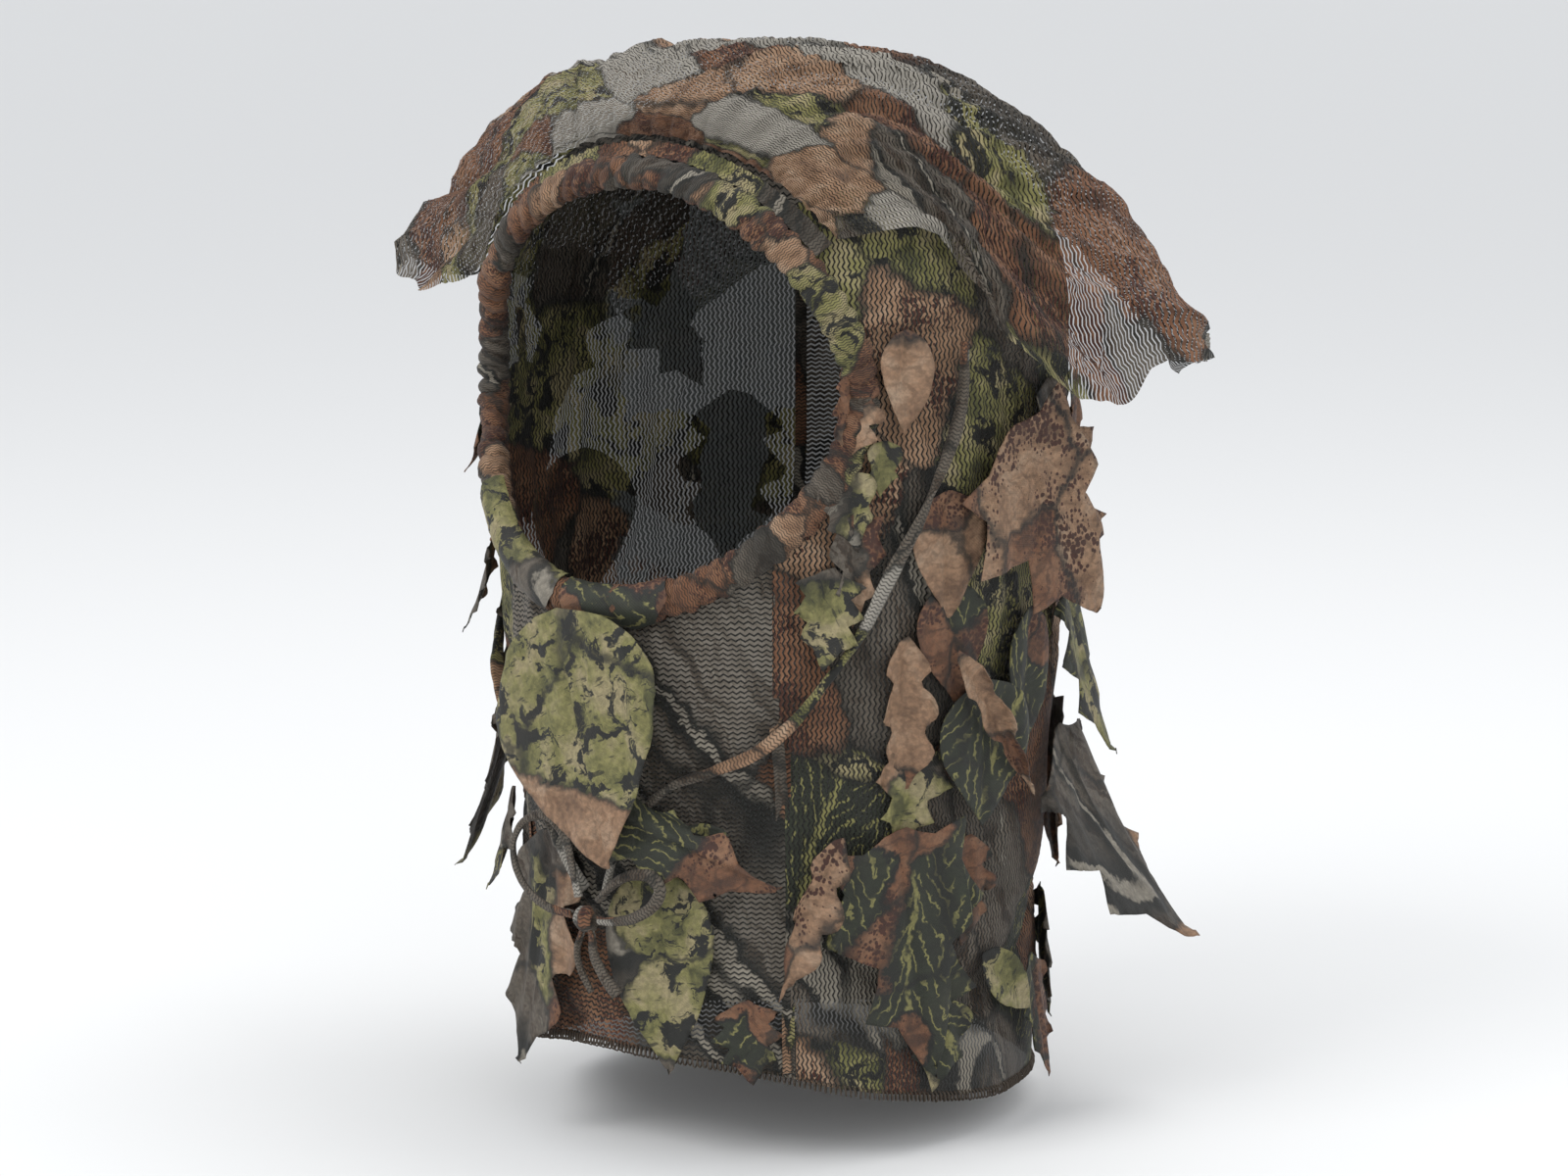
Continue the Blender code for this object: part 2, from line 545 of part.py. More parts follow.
# ---- the ties and their bow ----


def smooth_route(points, count):
    """That many points, evenly spread along the smooth curve through the given ones."""
    fine = [on_curve(points, (len(points) - 1) * i / 400) for i in range(401)]
    lengths = [0.0]
    for a, b in zip(fine, fine[1:]):
        lengths.append(lengths[-1] + (b - a).length)
    route = []
    for i in range(count):
        want = lengths[-1] * i / (count - 1)
        k = min(range(len(lengths)), key=lambda j: abs(lengths[j] - want))
        route.append(fine[k])
    return route


def tube(name, points, radius, finish):
    """A cord along a smooth curve through the given points."""
    length = sum((b - a).length for a, b in zip(points, points[1:]))
    route = smooth_route(points, max(6, round(length / (5.2 * radius))))
    data = bpy.data.curves.new(name, "CURVE")
    data.dimensions = "3D"
    spline = data.splines.new("POLY")
    spline.points.add(len(route) - 1)
    for place, co in zip(spline.points, route):
        place.co = (*co, 1.0)
    data.bevel_depth = radius
    data.bevel_resolution = 2
    data.use_fill_caps = True
    return add_object(name, data, finish)


def over_hood(angle, depth, height):
    """A point that far off the outside of the cloth."""
    point = hood_point(angle, depth)
    return point + normal_at(point) * height


def build_ties():
    """The two ties, from the temples under the flap to the bow under the chin."""
    tube("tie_left", [over_hood(*p) for p in TIE_LEFT], TIE_RADIUS, "tie_camo")
    tube("tie_right", [over_hood(*p) for p in TIE_RIGHT], TIE_RADIUS, "tie_camo")
    centre = over_hood(*KNOT)
    out = Vector((centre.x, centre.y, 0)).normalized()
    side = Vector((-out.y, out.x, 0))
    bm = bmesh.new()
    bmesh.ops.create_uvsphere(bm, u_segments=14, v_segments=10, radius=1.0)
    for v in bm.verts:
        v.co = centre + side * v.co.x * 0.0058 + Vector((0, 0, v.co.z * 0.0062)) + out * v.co.y * 0.0050
    from_bmesh("bow_knot", bm, "tie_camo")
    strands = {
        "bow_loop_left": LOOP_LEFT, "bow_loop_right": LOOP_RIGHT,
        "bow_tail_left": TAIL_LEFT, "bow_tail_right": TAIL_RIGHT,
    }
    for name, points in strands.items():
        route = [centre + side * a + Vector((0, 0, b)) + out * c for a, b, c in points]
        tube(name, route, TIE_RADIUS * 0.8, "tie_camo")


def main():
    for old in list(bpy.data.objects):
        bpy.data.objects.remove(old)
    build_hood()
    build_rim()
    build_hem()
    build_flap()
    for name in LEAVES:
        build_leaf(name)
    build_ties()
    for made in bpy.data.objects:
        made.location.z += CLOTH


main()
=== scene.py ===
"""The looks of the camo face mask: mesh, gathers, leaves, ties and thread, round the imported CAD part."""

import math

import bmesh
import bpy
import numpy as np
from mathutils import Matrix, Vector, noise


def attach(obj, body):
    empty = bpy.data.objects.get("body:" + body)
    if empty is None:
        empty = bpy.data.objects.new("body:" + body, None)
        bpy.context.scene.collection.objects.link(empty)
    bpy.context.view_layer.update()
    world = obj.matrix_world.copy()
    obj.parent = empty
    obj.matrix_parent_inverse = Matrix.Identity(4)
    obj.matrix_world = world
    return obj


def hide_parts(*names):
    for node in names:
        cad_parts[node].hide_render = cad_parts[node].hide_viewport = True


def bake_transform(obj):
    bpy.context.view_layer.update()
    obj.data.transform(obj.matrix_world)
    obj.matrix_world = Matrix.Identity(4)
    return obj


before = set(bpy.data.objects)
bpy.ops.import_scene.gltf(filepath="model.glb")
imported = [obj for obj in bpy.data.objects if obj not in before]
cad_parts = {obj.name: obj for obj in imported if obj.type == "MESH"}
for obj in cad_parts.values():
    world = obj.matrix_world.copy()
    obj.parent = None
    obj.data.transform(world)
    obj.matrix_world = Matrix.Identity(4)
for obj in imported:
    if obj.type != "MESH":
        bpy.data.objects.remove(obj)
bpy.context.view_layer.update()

# ---- the hood's own shape: the same rules as the CAD part ----

CLOTH = 0.0012
HALF_WIDTH, HALF_DEPTH = 0.119, 0.130
CROWN_HEIGHT, CROWN_POWER = 0.100, 2.3
HEM_DEPTH, HEM_RISE = 0.423, 0.033
OPENING_HALF_WIDTH, OPENING_HALF_HEIGHT, OPENING_DEPTH = 0.095, 0.087, 0.118
SEAM_X = 0.068
WAIST = ((0.100, 1.0), (0.160, 1.0), (0.220, 0.975), (0.290, 0.925), (0.360, 0.900), (0.440, 0.890))
FLAP_SEAM_ANGLE, FLAP_SEAM_REACH, FLAP_STAND_OFF = 54, 0.0165, 0.0035
FLAP_ROWS = (
    ((-0.086, -0.004), (0.109, -0.052, -0.054, 2.7), (0.116, -0.064, -0.076, 3.4)),
    ((-0.046, 0.010), (0.129, -0.028, -0.098, 3.2), (0.158, -0.038, -0.090, 3.2)),
    ((0.012, 0.011), (0.152, 0.012, -0.124, 2.5), (0.208, -0.008, -0.086, 3.0)),
    ((0.074, -0.004), (0.178, 0.042, -0.108, 2.1), (0.190, 0.052, -0.094, 2.5)),
    ((0.133, -0.060), (0.130, 0.098, -0.122, 1.9), (0.136, 0.096, -0.118, 2.0)),
)


def smooth(t):
    t = min(max(t, 0.0), 1.0)
    return t * t * (3 - 2 * t)


def share_at(depth):
    if depth <= 0:
        return 0.0
    if depth < CROWN_HEIGHT:
        return (1 - (1 - depth / CROWN_HEIGHT) ** CROWN_POWER) ** (1 / CROWN_POWER)
    for (d0, w0), (d1, w1) in zip(WAIST, WAIST[1:]):
        if depth <= d1:
            return w0 + (w1 - w0) * smooth((depth - d0) / (d1 - d0))
    return WAIST[-1][1]


def hem_at(angle):
    return HEM_DEPTH - HEM_RISE * (0.5 + 0.5 * math.cos(math.radians(angle))) ** 3


def hood_point(angle, depth):
    turn, share = math.radians(angle), share_at(depth)
    return Vector((HALF_WIDTH * share * math.sin(turn), -HALF_DEPTH * share * math.cos(turn), CLOTH - depth))


def normal_at(point):
    depth, step = CLOTH - point.z, 0.0005
    slope = (share_at(depth + step) ** 2 - share_at(depth - step) ** 2) / (4 * step)
    return Vector((point.x / HALF_WIDTH**2, point.y / HALF_DEPTH**2, slope)).normalized()


def over_hood(angle, depth, height):
    point = hood_point(angle, depth)
    return point + normal_at(point) * height


def rim_point(angle):
    x = OPENING_HALF_WIDTH * math.cos(angle)
    depth = OPENING_DEPTH - OPENING_HALF_HEIGHT * math.sin(angle)
    share = share_at(depth)
    return Vector((x, -HALF_DEPTH * math.sqrt(share**2 - (x / HALF_WIDTH) ** 2), CLOTH - depth))


def rim_frame(angle):
    """(point, direction away from the opening, outward normal) on the face opening's edge."""
    point = rim_point(angle)
    along = (rim_point(angle + 0.01) - rim_point(angle - 0.01)).normalized()
    out = normal_at(point)
    return point, along.cross(out).normalized(), out


def ripple(x, y, z=0.0):
    """Smooth noise from -1 to 1."""
    return noise.noise(Vector((x, y, z)))


# ---- materials ----


class Nodes:
    """Short ways to write a material's node tree."""

    def __init__(self, name):
        self.material = bpy.data.materials.new(name)
        self.material.use_nodes = True
        self.tree = self.material.node_tree
        self.shader = self.tree.nodes["Principled BSDF"]
        self.shader.inputs["Sheen Weight"].default_value = 0.0
        self.uv = self.tree.nodes.new("ShaderNodeTexCoord").outputs["UV"]

    def put(self, socket, value):
        if hasattr(value, "links"):
            self.tree.links.new(value, socket)
        else:
            socket.default_value = value

    def math(self, operation, a, b=0.0, clamp=False):
        node = self.tree.nodes.new("ShaderNodeMath")
        node.operation, node.use_clamp = operation, clamp
        self.put(node.inputs[0], a)
        self.put(node.inputs[1], b)
        return node.outputs[0]

    def vector(self, operation, a, b=(0, 0, 0)):
        node = self.tree.nodes.new("ShaderNodeVectorMath")
        node.operation = operation
        self.put(node.inputs[0], a)
        self.put(node.inputs["Scale"] if operation == "SCALE" else node.inputs[1], b)
        return node.outputs["Value" if operation in ("LENGTH", "DOT_PRODUCT") else "Vector"]

    def split(self, a):
        node = self.tree.nodes.new("ShaderNodeSeparateXYZ")
        self.put(node.inputs[0], a)
        return node.outputs[0], node.outputs[1]

    def scaled(self, a, scale, turn=0.0, move=(0, 0, 0)):
        node = self.tree.nodes.new("ShaderNodeMapping")
        self.put(node.inputs["Vector"], a)
        node.inputs["Scale"].default_value = scale
        node.inputs["Rotation"].default_value = (0, 0, turn)
        node.inputs["Location"].default_value = move
        return node.outputs[0]

    def noise(self, a, scale, detail=3.0, rough=0.55, colour=False, distort=0.0):
        node = self.tree.nodes.new("ShaderNodeTexNoise")
        self.put(node.inputs["Vector"], a)
        node.inputs["Scale"].default_value = scale
        node.inputs["Detail"].default_value = detail
        node.inputs["Roughness"].default_value = rough
        node.inputs["Distortion"].default_value = distort
        return node.outputs["Color" if colour else "Fac"]

    def cells(self, a, scale, feature="F1", jitter=1.0):
        node = self.tree.nodes.new("ShaderNodeTexVoronoi")
        node.feature = feature
        self.put(node.inputs["Vector"], a)
        node.inputs["Scale"].default_value = scale
        node.inputs["Randomness"].default_value = jitter
        return node.outputs

    def ramp(self, a, stops, sharp=False):
        node = self.tree.nodes.new("ShaderNodeValToRGB")
        node.color_ramp.interpolation = "CONSTANT" if sharp else "LINEAR"
        elements = node.color_ramp.elements
        elements.remove(elements[1])
        elements[0].position, elements[0].color = stops[0][0], (*stops[0][1], 1)
        for place, colour in stops[1:]:
            elements.new(place).color = (*colour, 1)
        self.put(node.inputs[0], a)
        return node.outputs["Color"]

    def step(self, a, low, high):
        node = self.tree.nodes.new("ShaderNodeMapRange")
        node.interpolation_type = "SMOOTHSTEP"
        self.put(node.inputs["Value"], a)
        node.inputs["From Min"].default_value = low
        node.inputs["From Max"].default_value = high
        return node.outputs["Result"]

    def mix(self, amount, a, b, how="MIX"):
        node = self.tree.nodes.new("ShaderNodeMix")
        node.data_type, node.blend_type = "RGBA", how
        self.put(node.inputs[0], amount)
        self.put(node.inputs[6], a if hasattr(a, "links") else (*a, 1))
        self.put(node.inputs[7], b if hasattr(b, "links") else (*b, 1))
        return node.outputs[2]

    def bump(self, height, strength, distance):
        node = self.tree.nodes.new("ShaderNodeBump")
        node.inputs["Strength"].default_value = strength
        node.inputs["Distance"].default_value = distance
        self.put(node.inputs["Height"], height)
        self.put(self.shader.inputs["Normal"], node.outputs["Normal"])


BLACK, BROWN, GREY = (0.007, 0.007, 0.005), (0.040, 0.025, 0.014), (0.115, 0.096, 0.074)
TAN, RUST, RED = (0.270, 0.158, 0.090), (0.150, 0.064, 0.029), (0.046, 0.013, 0.006)
OLIVE, LIME, PALE = (0.066, 0.066, 0.020), (0.190, 0.176, 0.060), (0.340, 0.310, 0.250)
KHAKI, SLATE = (0.280, 0.235, 0.125), (0.120, 0.140, 0.145)


class Print:
    """The parts of a camouflage print, each built when it is first used. The cloth is measured in metres."""

    def __init__(self, n, seed):
        self.n, self.built = n, {}
        self.at = n.scaled(n.uv, (1, 1, 1), seed * 1.7, (seed * 3.1, seed * 5.7, 0))
        wobble = n.noise(n.scaled(self.at, (60, 60, 1)), 1.0, 4.0, 0.62, colour=True)
        wobble = n.vector("SUBTRACT", wobble, (0.5, 0.5, 0.5))
        self.wobble = wobble
        self.warped = n.vector("ADD", self.at, n.vector("SCALE", wobble, 0.020))

    def get(self, name):
        if name not in self.built:
            self.built[name] = getattr(self, name)()
        return self.built[name]

    def twigs(self, colour, amount=0.9):
        """Pale dry stalks with a dark side, long and nearly straight."""
        n = self.n
        line = n.noise(n.scaled(self.warped, (16, 3.2, 1), 0.5), 1.0, 1.0, 0.4)
        off = n.math("ABSOLUTE", n.math("SUBTRACT", line, 0.5))
        shaded = n.mix(n.math("SUBTRACT", 1.0, n.step(off, 0.018, 0.045)), colour, BLACK)
        stalk = n.mix(n.noise(n.scaled(self.warped, (300, 40, 1)), 1.0, 2.0), PALE, GREY)
        near = n.math("SUBTRACT", 1.0, n.step(off, 0.008, 0.014))
        return n.mix(n.math("MULTIPLY", near, amount), shaded, stalk)

    def trunk(self):
        """Bark in large light pieces, as on the mesh of the hood."""
        n = self.n
        grain = n.noise(n.scaled(self.warped, (70, 9, 1), 0.35), 1.0, 7.0, 0.70, distort=0.4)
        stops = ((0.34, BLACK), (0.44, (0.060, 0.046, 0.032)), (0.54, (0.150, 0.132, 0.108)),
                 (0.62, (0.090, 0.074, 0.056)), (0.74, (0.300, 0.275, 0.230)))
        return self.twigs(n.ramp(grain, stops))

    def bark(self):
        """Grey-brown bark: dark furrows and pale ridges along the cloth."""
        n = self.n
        grain = n.noise(n.scaled(self.warped, (150, 20, 1), 0.3), 1.0, 7.0, 0.72, distort=0.5)
        stops = ((0.30, BLACK), (0.43, BROWN), (0.52, GREY), (0.60, (0.055, 0.043, 0.031)), (0.74, PALE))
        shade = n.noise(n.scaled(self.warped, (16, 9, 1)), 1.0, 2.0)
        lit = n.ramp(grain, stops)
        return self.twigs(n.mix(n.math("MULTIPLY", n.step(shade, 0.50, 0.66), 0.7), lit, BLACK))

    def moss(self):
        """Khaki and olive with ragged black blotches and small hatching."""
        n = self.n
        ground = n.ramp(n.noise(n.scaled(self.warped, (55, 55, 1)), 1.0, 4.0, 0.6),
                        ((0.36, OLIVE), (0.48, LIME), (0.62, KHAKI)))
        spots = n.noise(n.scaled(self.warped, (85, 60, 1)), 1.0, 5.0, 0.66, distort=0.8)
        hatch = n.noise(n.scaled(self.at, (520, 130, 1)), 1.0, 2.0)
        marked = n.mix(n.step(spots, 0.525, 0.56), ground, BLACK)
        return n.mix(n.math("MULTIPLY", n.step(hatch, 0.60, 0.68), 0.75), marked, BLACK)

    def veins(self, scale, turn):
        """Leaf veins: a midrib with side ribs that lean forward."""
        n = self.n
        x, y = n.split(n.scaled(self.warped, (scale, scale, 1), turn))
        off = n.math("ABSOLUTE", n.math("SUBTRACT", n.math("FRACT", x), 0.5))
        lean = n.math("ADD", n.math("MULTIPLY", off, 2.2), y)
        ribs = n.math("ABSOLUTE", n.math("SUBTRACT", n.math("FRACT", n.math("MULTIPLY", lean, 3.2)), 0.5))
        side = n.math("SUBTRACT", 1.0, n.step(ribs, 0.05, 0.13))
        return n.math("MAXIMUM", side, n.math("SUBTRACT", 1.0, n.step(off, 0.02, 0.05)))

    def fern(self):
        """Nearly black leaves with yellow-green veins."""
        n = self.n
        ground = n.mix(n.noise(n.scaled(self.warped, (80, 80, 1)), 1.0), BLACK, (0.024, 0.030, 0.014))
        broken = n.step(n.noise(n.scaled(self.at, (120, 120, 1)), 1.0, 3.0), 0.40, 0.52)
        return n.mix(n.math("MULTIPLY", self.veins(26, 0.7), broken), ground, LIME)

    def speckles(self, ground, mark, scale):
        """Small dark specks that gather in some places."""
        n = self.n
        where = n.noise(n.scaled(self.at, (34, 34, 1)), 1.0, 3.0)
        dots = n.cells(n.scaled(self.at, (scale, scale * 0.8, 1)), 1.0)["Distance"]
        size = n.math("MULTIPLY", n.step(where, 0.36, 0.64), 0.62)
        return n.mix(n.step(n.math("SUBTRACT", size, dots), -0.06, 0.06), ground, mark)

    def rust(self):
        n = self.n
        ground = n.ramp(n.noise(n.scaled(self.warped, (48, 48, 1)), 1.0, 5.0, 0.62),
                        ((0.34, (0.050, 0.020, 0.009)), (0.48, RUST), (0.66, (0.215, 0.112, 0.060))))
        lined = n.mix(n.math("MULTIPLY", self.veins(17, 2.2), 0.5), ground, (0.040, 0.016, 0.008))
        return self.speckles(lined, RED, 700.0)

    def tan(self):
        n = self.n
        ground = n.ramp(n.noise(n.scaled(self.warped, (60, 60, 1)), 1.0, 5.0, 0.6),
                        ((0.34, (0.120, 0.064, 0.034)), (0.50, TAN), (0.68, (0.34, 0.235, 0.155))))
        return n.mix(n.math("MULTIPLY", self.veins(21, 1.2), 0.35), ground, (0.10, 0.05, 0.025))

    def spotted(self):
        return self.speckles(self.get("tan"), RED, 560.0)

    def lobes(self):
        """Rounded rust leaves with a dark edge, on ferns."""
        n = self.n
        near = n.cells(n.scaled(self.warped, (27, 24, 1)), 1.0, jitter=0.8)["Distance"]
        ringed = n.mix(n.step(near, 0.50, 0.53), self.get("rust"), BLACK)
        return n.mix(n.step(near, 0.54, 0.56), ringed, self.get("fern"))

    def slate(self):
        n = self.n
        return n.mix(n.noise(n.scaled(self.warped, (70, 70, 1)), 1.0, 3.0), SLATE, (0.19, 0.19, 0.175))

    def pale(self):
        n = self.n
        grain = n.noise(n.scaled(self.warped, (70, 70, 1)), 1.0, 4.0)
        return n.mix(grain, (0.17, 0.155, 0.13), (0.34, 0.315, 0.27))

    def all(self, order, scale=(19, 14)):
        """Overlapping drawn leaves, each in one of these patterns."""
        n = self.n
        at = n.scaled(self.warped, (*scale, 1))
        pick = n.split(n.cells(at, 1.0)["Color"])[0]
        colour = self.get(order[0])
        for i, other in enumerate(order[1:], 1):
            if other != order[i - 1]:
                colour = n.mix(n.math("GREATER_THAN", pick, i / len(order)), colour, self.get(other))
        edge = n.cells(at, 1.0, "DISTANCE_TO_EDGE")["Distance"]
        near = n.math("SUBTRACT", 1.0, n.step(edge, 0.0, 0.045))
        return n.mix(n.math("MULTIPLY", near, 0.8), colour, BLACK)


PRINTS = {
    "bark": ("bark", "bark", "rust", "bark", "tan", "bark", "moss"),
    "moss": ("moss", "moss", "moss", "moss", "moss", "tan", "bark"),
    "green": ("moss", "fern", "moss", "bark", "moss"),
    "fern": ("fern", "fern", "fern", "moss"),
    "rust": ("lobes", "lobes", "rust", "lobes", "fern"),
    "tan": ("tan", "spotted", "tan", "bark", "rust"),
    "speckled": ("spotted", "spotted", "tan", "spotted", "rust"),
    "mesh": ("trunk", "trunk", "bark", "trunk", "trunk", "trunk", "trunk", "rust", "moss"),
    "side": ("bark", "moss", "rust", "moss", "bark", "spotted", "fern", "bark"),
    "flap": ("moss", "tan", "moss", "bark", "rust", "tan", "bark", "moss", "rust", "pale", "bark"),
    "casing": ("rust", "rust", "tan", "rust", "rust", "bark", "rust", "rust", "moss"),
    "tie": ("bark", "tan", "pale", "bark", "moss", "rust"),
}


def leaf_material(name, kind, seed):
    """Thin printed cloth with a fine weave and creases."""
    n = Nodes(name)
    drawn = Print(n, seed)
    colour = drawn.all(PRINTS[kind])
    worn = n.noise(n.scaled(n.uv, (30, 30, 1)), 1.0, 4.0, 0.6)
    colour = n.mix(n.math("MULTIPLY", n.step(worn, 0.50, 0.80), 0.10), colour, (0.16, 0.13, 0.10))
    grain = n.noise(n.scaled(n.uv, (420, 420, 1)), 1.0, 4.0, 0.7)
    colour = n.mix(n.math("MULTIPLY", n.step(grain, 0.62, 0.40), 0.45), colour, n.mix(0.7, colour, BLACK))
    n.put(n.shader.inputs["Base Color"], colour)
    n.shader.inputs["Roughness"].default_value = 0.7
    n.shader.inputs["Sheen Weight"].default_value = 0.02
    n.shader.inputs["Sheen Roughness"].default_value = 0.5
    x, y = n.split(n.scaled(n.uv, (5200, 5200, 1)))
    weave = n.math("MULTIPLY", n.math("SINE", x), n.math("SINE", y))
    crease = n.noise(n.scaled(n.uv, (95, 95, 1)), 1.0, 5.0, 0.62, distort=1.4)
    n.bump(n.math("ADD", n.math("MULTIPLY", weave, 0.05), crease), 0.7, 0.0016)
    return n.material


def knit(n, width, height, rise, cover):
    """Zigzag rows of knitted thread: (thread 1 or gap 0, distance from the thread's middle)."""
    x, y = n.split(n.uv)
    sway = n.noise(n.scaled(n.uv, (45, 45, 1)), 1.0, 2.0)
    sway = n.math("MULTIPLY", n.math("SUBTRACT", sway, 0.5), 0.0030)
    turn = n.math("PINGPONG", n.math("DIVIDE", n.math("ADD", x, sway), width), 1.0)
    row = n.math("DIVIDE", n.math("ADD", n.math("ADD", y, sway), n.math("MULTIPLY", turn, rise)), height)
    across = n.math("ABSOLUTE", n.math("SUBTRACT", n.math("FRACT", row), 0.5))
    uneven = n.math("MULTIPLY", n.noise(n.scaled(n.uv, (900, 900, 1)), 1.0, 2.0), 0.16)
    edge = n.math("ADD", cover / 2 - 0.08, uneven)
    return n.step(n.math("SUBTRACT", edge, across), -0.05, 0.05), across


def mesh_material(name, kind, seed, gap, cover=0.64, windows=False, scale=(19, 14)):
    """Open knitted mesh. The gaps between its zigzag rows are painted black and closed to that share: painted
    shade of the dark inside seen through the holes.
    """
    n = Nodes(name)
    drawn = Print(n, seed)
    colour = drawn.all(PRINTS[kind], scale)
    if windows:
        y, x = n.split(n.vector("ADD", n.uv, n.vector("SCALE", drawn.wobble, 0.075)))
        before_end = n.math("SUBTRACT", 1.0, n.step(x, -0.224, -0.214))
        inside = n.math("MULTIPLY", n.step(x, -0.338, -0.330), before_end)
        inside = n.math("MULTIPLY", inside, n.step(y, 0.046, 0.054))
        inside = n.math("MULTIPLY", inside, n.math("SUBTRACT", 1.0, n.step(y, 0.222, 0.232)))
        shapes = n.split(n.cells(n.scaled(drawn.warped, (24, 17, 1), 0.9), 1.0)["Color"])[1]
        patch = n.math("MULTIPLY", inside, n.math("GREATER_THAN", shapes, 0.36))
        colour = n.mix(patch, colour, drawn.get("slate"))
    thread, across = knit(n, 0.00180, 0.00210, 0.00100, cover)
    # The gaps are made mostly opaque here and painted black on the next line: painted shade standing in for
    # the dark inside seen through the holes.
    n.put(n.shader.inputs["Alpha"], n.math("ADD", gap, n.math("MULTIPLY", thread, 1.0 - gap), clamp=True))
    n.put(n.shader.inputs["Base Color"], n.mix(n.math("SUBTRACT", 1.0, thread), colour, BLACK))
    n.shader.inputs["Roughness"].default_value = 0.85
    n.shader.inputs["Sheen Weight"].default_value = 0.02
    soft = n.noise(n.scaled(n.uv, (70, 70, 1)), 1.0, 4.0, 0.6, distort=0.8)
    folds = n.noise(n.scaled(n.uv, (34, 7, 1), 0.5), 1.0, 3.0, 0.5, distort=0.6)
    relief = n.math("ADD", n.math("MULTIPLY", soft, 2.2), n.math("MULTIPLY", folds, 9.0))
    n.bump(n.math("SUBTRACT", relief, n.math("MULTIPLY", across, 1.2)), 0.7, 0.0008)
    return n.material


def gathered_material(name, kind, seed, dark=0.8):
    """Several layers of gathered mesh, so closed, with fine zigzag knit whose gaps are darkened towards black
    as painted shade.
    """
    n = Nodes(name)
    colour = Print(n, seed).all(PRINTS[kind], (34, 22))
    thread, across = knit(n, 0.00130, 0.00160, 0.00080, 0.68)
    # The gaps between the threads are darkened towards black by that share: painted shade of the deeper
    # layers of mesh.
    painted_gap_shade = n.math("MULTIPLY", n.math("SUBTRACT", 1.0, thread), dark)
    n.put(n.shader.inputs["Base Color"], n.mix(painted_gap_shade, colour, BLACK))
    n.shader.inputs["Roughness"].default_value = 0.85
    n.shader.inputs["Sheen Weight"].default_value = 0.04
    n.bump(n.math("SUBTRACT", 1.0, across), 0.7, 0.0007)
    return n.material


def plain_material(name, colour, rough=0.8):
    n = Nodes(name)
    tone = n.noise(n.scaled(n.uv, (300, 300, 300)), 1.0, 2.0)
    n.put(n.shader.inputs["Base Color"], n.mix(n.math("MULTIPLY", tone, 0.5), colour, BLACK))
    n.shader.inputs["Roughness"].default_value = rough
    return n.material


LEAF_KINDS = {"leaf_moss": "moss", "leaf_green": "green", "leaf_fern": "fern", "leaf_bark": "bark",
              "leaf_rust": "rust", "leaf_tan": "tan", "leaf_speckled": "speckled"}
leaf_materials = {}
for number, (slot_name, kind) in enumerate(LEAF_KINDS.items()):
    leaf_materials[slot_name] = leaf_material(slot_name + "_print", kind, 1.0 + number)
mesh_camo = mesh_material("mesh_camo_knit", "mesh", 0.4, 0.88, scale=(12, 8))
side_camo = mesh_material("side_camo_knit", "side", 0.7, 0.88, windows=True)
flap_camo = mesh_material("flap_camo_knit", "flap", 0.9, 0.34, 0.70)
casing_knit = gathered_material("casing_knit", "casing", 2.3)
tie_knit = gathered_material("tie_knit", "tie", 5.1)
seam_cloth = gathered_material("seam_knit", "bark", 3.7, 0.9)
thread = plain_material("overlock_thread", (0.070, 0.050, 0.034))


# ---- building pieces ----


def piece(name, verts, faces, uvs, material, body="hood"):
    """A mesh piece with a UV for each vertex."""
    mesh = bpy.data.meshes.new(name)
    mesh.from_pydata([tuple(v) for v in verts], [], [tuple(int(i) for i in f) for f in faces])
    layer = mesh.uv_layers.new(name="UVMap")
    index = np.zeros(len(mesh.loops), np.int32)
    mesh.loops.foreach_get("vertex_index", index)
    layer.data.foreach_set("uv", np.asarray(uvs, np.float32)[index].ravel())
    mesh.materials.append(material)
    mesh.shade_smooth()
    made = bpy.data.objects.new(name, mesh)
    bpy.context.scene.collection.objects.link(made)
    if body:
        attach(made, body)
    return made


def grid_faces(rows, columns, closed=False):
    """Quads of a grid of vertices that is stored row by row."""
    faces = []
    last = columns if closed else columns - 1
    for i in range(rows - 1):
        for j in range(last):
            k = (j + 1) % columns
            faces.append((i * columns + j, i * columns + k, (i + 1) * columns + k, (i + 1) * columns + j))
    return faces


def tube_mesh(points, section, closed=False):
    """Verts, faces and UVs of a tube. section(i, share) gives the (across, out) offsets at point i."""
    verts, uvs, run = [], [], 0.0
    count = len(points)
    normal = None
    for i, p in enumerate(points):
        before, after = points[max(0, i - 1)], points[min(count - 1, i + 1)]
        along = (after - before).normalized()
        if normal is None:
            normal = along.orthogonal().normalized()
        normal = (normal - along * normal.dot(along)).normalized()
        side = along.cross(normal)
        ring = section(i, i / (count - 1))
        if i:
            run += (p - points[i - 1]).length
        for j, (a, b) in enumerate(ring):
            verts.append(p + side * a + normal * b)
            uvs.append((j / len(ring) * 0.014, run))
    faces = grid_faces(count, len(ring), True)
    if not closed:
        faces += [tuple(range(len(ring)))[::-1], tuple((count - 1) * len(ring) + j for j in range(len(ring)))]
    return verts, faces, uvs


def on_route(points, place):
    """The point at that place on the smooth curve through the given ones."""
    i = min(int(place), len(points) - 2)
    t = place - i
    p0, p1, p2, p3 = (points[max(0, min(len(points) - 1, k))] for k in range(i - 1, i + 3))
    square = (p0 * 2 - p1 * 5 + p2 * 4 - p3) * t**2
    cube = (p1 * 3 - p0 - p2 * 3 + p3) * t**3
    return (p1 * 2 + (p2 - p0) * t + square + cube) / 2


